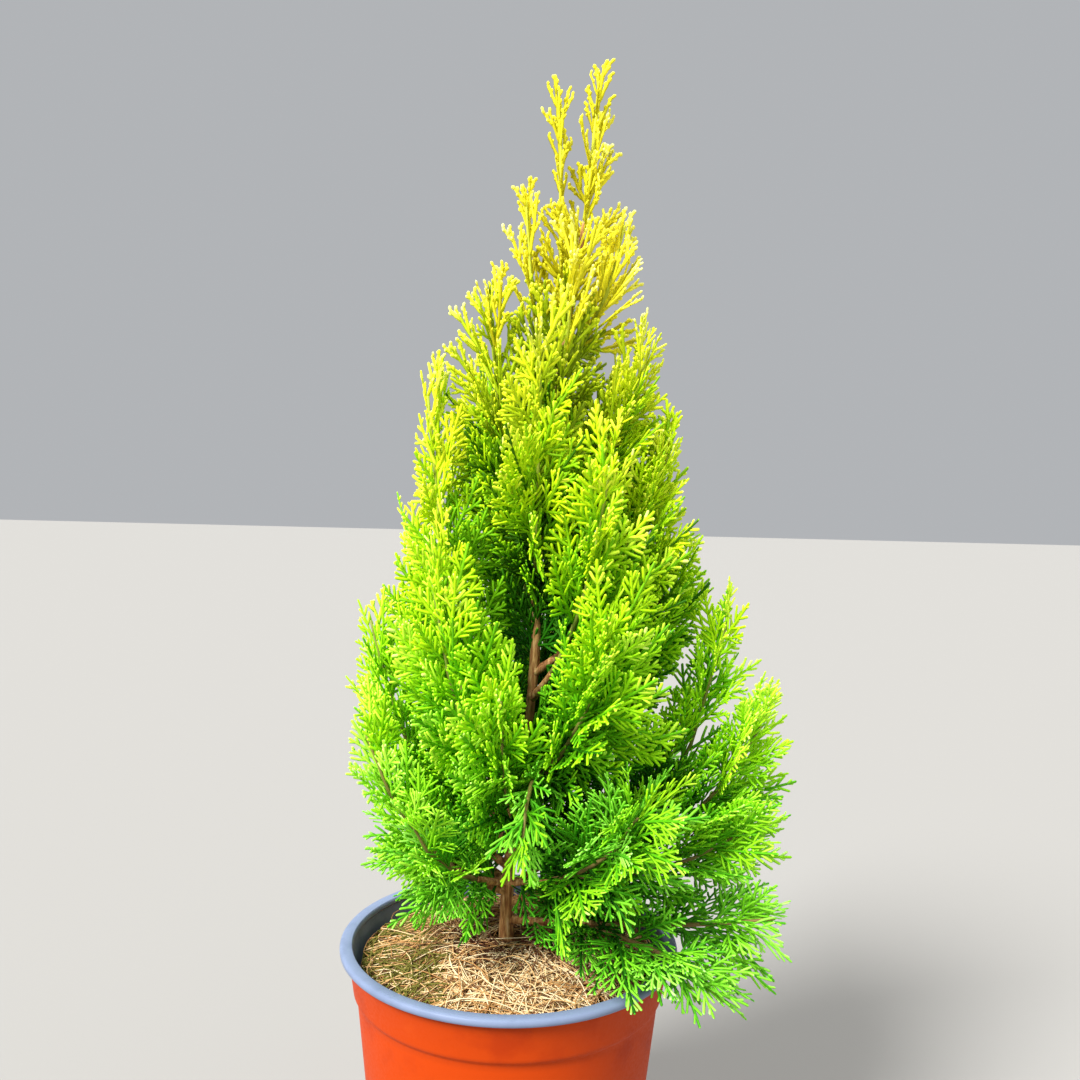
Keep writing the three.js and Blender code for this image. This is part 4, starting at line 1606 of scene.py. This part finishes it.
@dataclass
class Wood:
    """Trunk and boughs in thin stringy bark, each bough with a collar at its foot."""

    plan: Plan
    ring_spacing: float = 1.4
    trunk_sides: int = 20
    trunk_sunk: float = 0.3
    bough_sides: int = 10
    bough_into_stem: float = 0.01
    bough_end: float = 0.3
    collar: float = 0.7
    collar_length: float = 4
    strip_depth: float = 0.26
    bough_strips: float = 0.6
    strip_width: float = 1.1
    strip_length: float = 9.0
    strip_drift: float = 40
    bark: Fibrous = Fibrous(
        "stringy_bark",
        ((0.3, "#6a4022"), (0.46, "#a06c3c"), (0.58, "#cc9c60"), (0.72, "#ecc896")),
        grain=1.3,
        stretch=6.0,
        roughness=0.8,
        depth=0.35,
    )

    def relief(self, points: np.ndarray, radii: np.ndarray, sides: int, depth: float) -> np.ndarray:
        """How far the strips of bark stand out at each corner of each ring."""
        out = np.zeros((len(points), sides))
        for i, (point, radius) in enumerate(zip(points, radii)):
            height = point[2] / self.strip_length + point[0] / self.strip_drift
            for j in range(sides):
                angle = j / sides * FULL_TURN
                x, y = radius * math.cos(angle), radius * math.sin(angle)
                place = Vector((x / self.strip_width, y / self.strip_width, height))
                out[i, j] = noise.noise(place) * depth
        return out

    def build(self) -> None:
        """Builds the trunk and the boughs."""
        material = self.bark.made()
        self.trunk(material)
        self.boughs(material)

    def trunk(self, material: bpy.types.Material) -> None:
        """The trunk, from the compost's top to the leader's foot."""
        trunk = self.plan.trunk
        heights = np.arange(trunk.foot, trunk.top, self.ring_spacing)
        points = np.array([trunk.point(height) for height in heights])
        points[0, 2] = trunk.foot - self.trunk_sunk
        radii = np.array([trunk.radius_at(height) for height in heights])
        tube = Tubes()
        ridges = self.relief(points, radii, self.trunk_sides, self.strip_depth)
        tube.add(points, radii, self.trunk_sides, ridges)
        dress(joined_mesh("trunk_bark", *tube.mesh(), [material]), ["trunk"])

    def boughs(self, material: bpy.types.Material) -> None:
        """The boughs' bare parts, as one piece."""
        boughs = Tubes()
        barked = [mass for mass in self.plan.masses if mass.bare]
        foot, tip = self.plan.bough_radius, self.plan.bough_tip_radius + self.bough_end
        for mass in barked:
            axis = self.plan.axis(mass)
            count = math.ceil(axis.length(mass.bare) / self.ring_spacing)
            shares = np.linspace(0, 1, count + 1)
            end = mass.bare + self.bough_into_stem
            points = np.array([axis.point(share * end) for share in shares])
            collar = self.collar * np.exp(-shares * count * self.ring_spacing / self.collar_length)
            radii = foot + shares * (tip - foot)
            ridges = self.relief(points, radii, self.bough_sides, self.strip_depth * self.bough_strips)
            boughs.add(points, radii + collar, self.bough_sides, ridges)
        names = ["bough_" + mass.name for mass in barked]
        dress(joined_mesh("bough_bark", *boughs.mesh(), [material]), names)


# Pot


def turned(
    name: str, profile: Sequence[tuple[float, float]], sides: int, ring: bool = False
) -> bpy.types.Object:
    """Models a turned piece: a circle extruded and resized from each point to the next.

    Args:
        name: name of the piece.
        profile: radius and height of each ring, in millimetres, outer side first.
        sides: corners of the circle.
        ring: whether the profile closes on itself, as a lip does.

    Returns:
        The piece, closed and facing outwards.
    """
    bpy.ops.object.select_all(action="DESELECT")
    radius, height = profile[0]
    bpy.ops.mesh.primitive_circle_add(
        vertices=sides,
        radius=radius * MM,
        fill_type="NOTHING" if ring else "NGON",
        location=(0, 0, height * MM),
    )
    made = bpy.context.active_object
    made.name = name
    made.data.name = name
    bpy.ops.object.transform_apply(location=True, rotation=True, scale=True)
    bpy.ops.object.mode_set(mode="EDIT")
    bpy.ops.mesh.select_all(action="SELECT")
    stops = [*profile[1:], profile[0]] if ring else profile[1:]
    for next_radius, next_height in stops:
        rise = (0, 0, (next_height - height) * MM)
        bpy.ops.mesh.extrude_region_move(TRANSFORM_OT_translate={"value": rise})
        grow = next_radius / radius
        centre = (0, 0, next_height * MM)
        bpy.ops.transform.resize(value=(grow, grow, 1), center_override=centre)
        radius, height = next_radius, next_height
    bpy.ops.mesh.select_all(action="SELECT")
    bpy.ops.mesh.remove_doubles(threshold=SAME_PLACE)
    bpy.ops.mesh.normals_make_consistent(inside=False)
    bpy.ops.object.mode_set(mode="OBJECT")
    bpy.ops.object.shade_smooth_by_angle(angle=SHARP_EDGE)
    return made


@dataclass
class Pot:
    """The tapered nursery pot: shell with its stacking shoulder and drain holes, and rolled lip."""

    sides: int = 128
    base_radius: float = 47.4
    shoulder_radius: float = 59.6
    collar_radius: float = 61.8
    rim_radius: float = 65.0
    height: float = 115.0
    shoulder_height: float = 96.7
    wall: float = 1.6
    floor: float = 2.2
    lip_height: float = 3.0
    lip_width: float = 5.0
    drain_holes: int = 6
    drain_radius: float = 4.0
    drain_circle: float = 34.0
    drain_sides: int = 24
    drill_length: float = 12.0
    rounding: float = 1.4
    lip_overlap: float = 0.34
    lip_seat: float = 0.64
    lip_gap: float = 0.3
    outside: MouldedPlastic = MouldedPlastic(
        "moulded_polypropylene_orange", "#ba3c00", "#ac3300", "#c04406", 0.46
    )
    inside: MouldedPlastic = MouldedPlastic(
        "moulded_polypropylene_grey", "#6f7890", "#5c6478", "#858a98", 0.42
    )
    rim: MouldedPlastic = MouldedPlastic(
        "moulded_polypropylene_blue_grey", "#7a87a2", "#6d7a94", "#8c94a2", 0.36
    )

    def build(self) -> None:
        """Builds shell and lip."""
        self.shell()
        self.lip()

    def shell(self) -> None:
        """The orange wall with its grey lining."""
        base, shoulder, collar = self.base_radius, self.shoulder_radius, self.collar_radius
        step, inner = self.shoulder_height, self.wall
        below = shoulder - self.rounding
        top = self.height - self.lip_height + self.lip_overlap
        slope = (below - base) / (step - self.rounding)
        inner_foot = base + slope * (self.floor - self.rounding) - inner
        profile = [
            (38.0, 0.9),
            (39.0, 0.0),
            (base - self.rounding, 0.0),
            (base - 0.4, 0.45),
            (base, self.rounding),
            (base + slope * 47, 48.4),
            (below - 0.35, step - 3.2),
            (below - 0.3, step - 0.9),
            (below + 0.1, step - 0.2),
            (shoulder - 0.4, step + 0.7),
            (shoulder, step + self.rounding),
            (shoulder + 0.12, step + 2.4),
            (collar - 0.5, top - 3.6),
            (collar - 0.1, top - 2.4),
            (collar, top),
            (collar - inner, top),
            (shoulder - inner, step + 3.0),
            (below - inner, step + 1.6),
            (inner_foot + 0.6, self.floor + 0.6),
            (inner_foot, self.floor),
            (20.0, self.floor),
        ]
        shell = turned("pot_shell", profile, self.sides)
        for i in range(self.drain_holes):
            angle = (i + 0.5) / self.drain_holes * FULL_TURN
            x, y = self.drain_circle * math.cos(angle), self.drain_circle * math.sin(angle)
            self.drill(shell, (x * MM, y * MM, self.floor / 2 * MM))
        shell.data.materials.append(self.outside.made())
        shell.data.materials.append(self.inside.made())
        for polygon in shell.data.polygons:
            x, y, z = polygon.center
            inwards = polygon.normal.x * x + polygon.normal.y * y < 0
            polygon.material_index = int(inwards and z > self.floor * MM)
        dress(shell, ["pot"])

    def drill(self, shell: bpy.types.Object, place: Three) -> None:
        """Cuts one drain hole through the floor."""
        bpy.ops.object.select_all(action="DESELECT")
        bpy.ops.mesh.primitive_cylinder_add(
            vertices=self.drain_sides,
            radius=self.drain_radius * MM,
            depth=self.drill_length * MM,
            location=place,
        )
        cutter = bpy.context.active_object
        pick(shell)
        cut = shell.modifiers.new("drain", "BOOLEAN")
        cut.operation = "DIFFERENCE"
        cut.solver = "EXACT"
        cut.object = cutter
        bpy.ops.object.modifier_apply(modifier=cut.name)
        bpy.data.objects.remove(cutter)

    def lip(self) -> None:
        """The rolled blue-grey lip, with the small ledge under it."""
        outer, inner = self.rim_radius, self.rim_radius - self.lip_width
        top, foot = self.height, self.height - self.lip_height
        seat = foot + self.lip_seat
        against = self.collar_radius + self.lip_gap
        profile = [
            (against, foot),
            (outer - 1.5, foot),
            (outer - 0.55, foot + 0.25),
            (outer - 0.1, foot + 0.8),
            (outer, foot + 1.5),
            (outer - 0.1, foot + 2.2),
            (outer - 0.5, top - 0.3),
            (outer - 1.3, top),
            (inner + 1.4, top),
            (inner + 0.5, top - 0.25),
            (inner + 0.08, top - 0.8),
            (inner, top - 1.5),
            (inner, seat),
            (against, seat),
        ]
        lip = turned("pot_lip", profile, self.sides, ring=True)
        lip.data.materials.append(self.rim.made())
        dress(lip, ["pot_rim"])


# What fills the pot


@dataclass
class Cover:
    """The mat of coir over the compost: a domed bed with loose fibres on it.

    Fibres in front of the trunk are dealt lighter tones than those elsewhere, a painted pool of light;
    some of them are mossy at the left edge and some dead round the trunk's foot.
    """

    sides: int = 96
    rings: int = 26
    edge_radius: float = 57.0
    foot: float = 103.3
    edge_level: float = 105.5
    crown_level: float = 113.0
    bed_sunk: float = 0.5
    lump_size: float = 5
    lump_octaves: int = 3
    lump_height: float = 2.6
    bed: Fibrous = Fibrous(
        "coir_bed",
        ((0.28, "#4a3520"), (0.45, "#7d5c34"), (0.6, "#a9834c"), (0.78, "#c9a86c")),
        grain=2.2,
        depth=0.8,
        roughness=0.95,
    )
    seed: int = 12
    fibres: int = 3300
    fibre_radius: float = 0.22
    fibre_points: int = 9
    fibre_lengths: Range = (10, 46)
    fibre_bow: float = 1.3
    fibre_arch: Range = (1.6, 0.75)
    fibre_rise: Range = (-0.2, 1.1)
    laid_within: float = 0.97
    edge_gap: float = 0.6
    trunk_x: float = -1
    trunk_gap: float = 4.6
    tones: tuple[str, ...] = ("#f0d9ac", "#e6c692", "#d4a86e", "#ba8850", "#805a38")
    mossy: str = "#75702c"
    dead: str = "#5e3620"
    roughness: float = 0.75
    specular: float = 0.25
    # A painted pool of light in front of the trunk: its centre, its spread, and, past the usual power, how
    # strongly it lightens the fibres.
    painted_light_centre: Range = (0, -34)
    painted_light_spread: float = 24
    plain_power: float = 0.58
    painted_light_power: float = 1.4
    mossy_left_of: float = -30
    mossy_slant: float = 0.2
    mossy_share: float = 0.55
    dead_within: float = 22
    dead_from: float = 0.68

    def level(self, radius: np.ndarray | float) -> np.ndarray | float:
        """The height of the bed at a distance from the pot's axis."""
        share = np.clip(np.asarray(radius) / self.edge_radius, 0, 1)
        return self.edge_level + (self.crown_level - self.edge_level) * (1 - share**2)

    def build(self) -> None:
        """Builds the bed and its fibres."""
        profile = [(self.edge_radius, self.foot)]
        for i in range(self.rings, 0, -1):
            radius = self.edge_radius * i / self.rings
            profile.append((radius, float(self.level(radius)) - self.bed_sunk))
        bed = turned("coir_bed", profile, self.sides)
        self.roughen(bed)
        bed.data.materials.append(self.bed.made())
        dress(bed, ["coir_cover"])
        self.scatter()

    def roughen(self, bed: bpy.types.Object) -> None:
        """Raises lumps on the top of the bed."""
        top = bed.vertex_groups.new(name="top")
        edge = (self.foot + self.edge_level) / 2 * MM
        chosen = [v.index for v in bed.data.vertices if v.co.z > edge]
        top.add(chosen, 1.0, "REPLACE")
        lumps = bpy.data.textures.new("coir_lumps", "CLOUDS")
        lumps.noise_scale = self.lump_size * MM
        lumps.noise_depth = self.lump_octaves
        pick(bed)
        raised = bed.modifiers.new("lumps", "DISPLACE")
        raised.texture = lumps
        raised.texture_coords = "LOCAL"
        raised.direction = "Z"
        raised.strength = self.lump_height * MM
        raised.vertex_group = top.name
        bpy.ops.object.modifier_apply(modifier=raised.name)

    def scatter(self) -> None:
        """Lays the loose fibres over the bed as one mesh."""
        rng = np.random.default_rng(self.seed)
        lines = self.lines(rng)
        a_third_along = self.fibre_points // 3
        tints = self.dealt(lines[:, a_third_along], rng)
        vertices, faces = self.strands(lines)
        materials = [
            Plain(f"coir_fibre_{i}", tone, self.roughness, self.specular).made()
            for i, tone in enumerate((*self.tones, self.mossy, self.dead))
        ]
        tints = np.repeat(tints, len(faces) // len(lines))
        dress(joined_mesh("coir_fibres", vertices, faces, materials, tints))

    def lines(self, rng: np.random.Generator) -> np.ndarray:
        """Arched and bowed lines of points over the bed, short of its edge and of the trunk."""
        count, steps = self.fibres, self.fibre_points
        middle = self.edge_radius * np.sqrt(rng.random(count)) * self.laid_within
        around, heading = rng.random(count) * FULL_TURN, rng.random(count) * FULL_TURN
        bow = rng.normal(0, self.fibre_bow, count)
        length = rng.uniform(*self.fibre_lengths, count)[:, None]
        place = np.linspace(-0.5, 0.5, steps)[None]
        angle = heading[:, None] + bow[:, None] * place
        x, y = (
            (middle * wave(around))[:, None]
            + np.cumsum(wave(angle), 1) * length / steps
            - wave(heading)[:, None] * length / 2
            for wave in (np.cos, np.sin)
        )
        radius, edge = np.hypot(x, y), self.edge_radius - self.edge_gap
        pulled = np.where(radius > edge, edge / radius, 1)
        x, y = x * pulled, y * pulled
        arch = rng.gamma(*self.fibre_arch, count)[:, None] * (1 - (2 * place) ** 2)
        z = self.level(np.hypot(x, y)) + rng.uniform(*self.fibre_rise, count)[:, None] + arch
        away = np.hypot(x - self.trunk_x, y).min(axis=1) > self.trunk_gap
        return np.stack([x, y, z], axis=-1)[away]

    def dealt(self, places: np.ndarray, rng: np.random.Generator) -> np.ndarray:
        """The number of the tone that each fibre is dealt by its place."""
        x, y = places[:, 0], places[:, 1]
        chance = rng.random(len(places))
        # Fibres near that centre are dealt lighter tones: a painted pool of light.
        reach = (x - self.painted_light_centre[0]) ** 2 + (y - self.painted_light_centre[1]) ** 2
        painted_light = np.exp(-reach / (2 * self.painted_light_spread**2))
        dull = rng.random(len(places)) ** (self.plain_power + self.painted_light_power * painted_light)
        tints = np.floor(dull * len(self.tones)).astype(int)
        left = x + self.mossy_slant * y < self.mossy_left_of
        tints[left & (chance < self.mossy_share)] = len(self.tones)
        tints[(np.hypot(x, y) < self.dead_within) & (chance > self.dead_from)] = len(self.tones) + 1
        return tints

    def strands(self, lines: np.ndarray) -> tuple[np.ndarray, np.ndarray]:
        """Three-sided closed strands along lines of points, all in one mesh."""
        sides = 3
        count, steps = lines.shape[:2]
        tangents = np.gradient(lines, axis=1)
        tangents /= np.linalg.norm(tangents, axis=2)[..., None]
        side = np.cross(tangents, UP)
        side /= np.linalg.norm(side, axis=2)[..., None] + TINY
        lift = np.cross(side, tangents)
        corners = np.arange(sides) / sides * FULL_TURN
        ring = np.cos(corners)[:, None] * side[:, :, None] + np.sin(corners)[:, None] * lift[:, :, None]
        vertices = (lines[:, :, None] + ring * self.fibre_radius).reshape(-1, 3)
        end = (steps - 1) * sides
        ends = [(0, 1, 2), (end, end + 2, end + 1)]
        faces = np.concatenate([ends, np.array(wall_faces(steps, sides))[:, ::-1]])
        return vertices, copied(faces, count, steps * sides)


@dataclass
class Compost:
    """The moist compost under the cover, which shows only at the drain holes."""

    finish: Fibrous = Fibrous(
        "peat_compost",
        ((0.3, "#1c120c"), (0.5, "#36251a"), (0.7, "#58402c"), (0.85, "#7a5c40")),
        grain=2.4,
        depth=0.9,
        roughness=0.95,
    )

    def build(self) -> None:
        """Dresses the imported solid."""
        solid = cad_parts["compost"]
        solid.data.materials.clear()
        solid.data.materials.append(self.finish.made())
        log.info("compost: dressed")


# Studio


@dataclass
class Studio:
    """Pale floor, soft lights and the camera at the photo's place.

    A sun has a name, a place that it shines from, its width in degrees and its strength.
    """

    eye: Three = (8.24, -376.5, 279.1)
    pitch: float = 1.48
    roll: float = 1.38
    focal_pixels: float = 974.4
    sensor_width: float = 36
    nearest: float = 0.01
    floor_size: float = 30
    floor_finish: Plain = Plain("matt_floor", "#94928e", roughness=0.9, specular=0.2)
    sky_tone: str = "#dfe2e6"
    sky_strength: float = 0.6
    suns: tuple[tuple[str, Three, float, float], ...] = (
        ("key", (-0.95, -1.0, 1.25), 22, 6.5),
        ("top", (0.15, 0.5, 1.6), 40, 2.1),
        ("fill", (1.2, -0.9, 0.8), 60, 0.45),
    )

    def build(self) -> None:
        """Builds floor, sky, lights and camera."""
        self.floor()
        self.sky()
        for sun in self.suns:
            self.sun(*sun)
        self.camera()
        bpy.context.scene.view_settings.view_transform = "Standard"

    def floor(self) -> None:
        """The floor, which goes on past the frame."""
        bpy.ops.object.select_all(action="DESELECT")
        bpy.ops.mesh.primitive_plane_add(size=self.floor_size)
        floor = bpy.context.active_object
        floor.name = "floor"
        floor.data.materials.append(self.floor_finish.made())
        floor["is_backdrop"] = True

    def sky(self) -> None:
        """The even sky over the floor."""
        world = bpy.data.worlds.new("sky")
        world.use_nodes = True
        sky = world.node_tree.nodes["Background"]
        sky.inputs["Color"].default_value = linear(self.sky_tone)
        sky.inputs["Strength"].default_value = self.sky_strength
        bpy.context.scene.world = world

    def sun(self, name: str, origin: Three, spread: float, power: float) -> None:
        """Adds one soft lamp, wide in degrees as its spread, that shines from an origin."""
        lamp = bpy.data.lights.new(name, "SUN")
        lamp.angle = math.radians(spread)
        lamp.energy = power
        made = bpy.data.objects.new(name, lamp)
        made.location = origin
        made.rotation_euler = (-Vector(origin)).to_track_quat("-Z", "Y").to_euler()
        bpy.context.scene.collection.objects.link(made)

    def camera(self) -> None:
        """The camera, fitted to the pot's rim: its pitch, its roll and its focal length."""
        data = bpy.data.cameras.new("view")
        data.sensor_width = self.sensor_width
        data.lens = data.sensor_width * self.focal_pixels / PHOTO_PIXELS
        data.clip_start = self.nearest
        pitch, roll = math.radians(self.pitch), math.radians(self.roll)
        ahead = Vector((0, math.cos(pitch), -math.sin(pitch)))
        level = Vector((1, 0, 0))
        head = level.cross(ahead)
        right = level * math.cos(roll) + head * math.sin(roll)
        above = head * math.cos(roll) - level * math.sin(roll)
        turn = Matrix((right, above, -ahead)).transposed().to_4x4()
        made = bpy.data.objects.new("view", data)
        made.matrix_world = Matrix.Translation(Vector(self.eye) * MM) @ turn
        bpy.context.scene.collection.objects.link(made)
        bpy.context.scene.camera = made


def corners() -> list[list[float]]:
    """The lowest and the highest corner of what is shown."""
    return [list(corner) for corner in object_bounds()]


def main() -> None:
    """Builds the pot, what fills it, the wood, the foliage and the studio."""
    logging.basicConfig(level=logging.INFO, format="%(message)s")
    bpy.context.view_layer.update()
    plan = Plan(Trunk(), MASSES, Outline())
    Pot().build()
    Compost().build()
    Cover().build()
    Wood(plan).build()
    Foliage(plan).build()
    Studio().build()


if __name__ == "__main__":
    main()
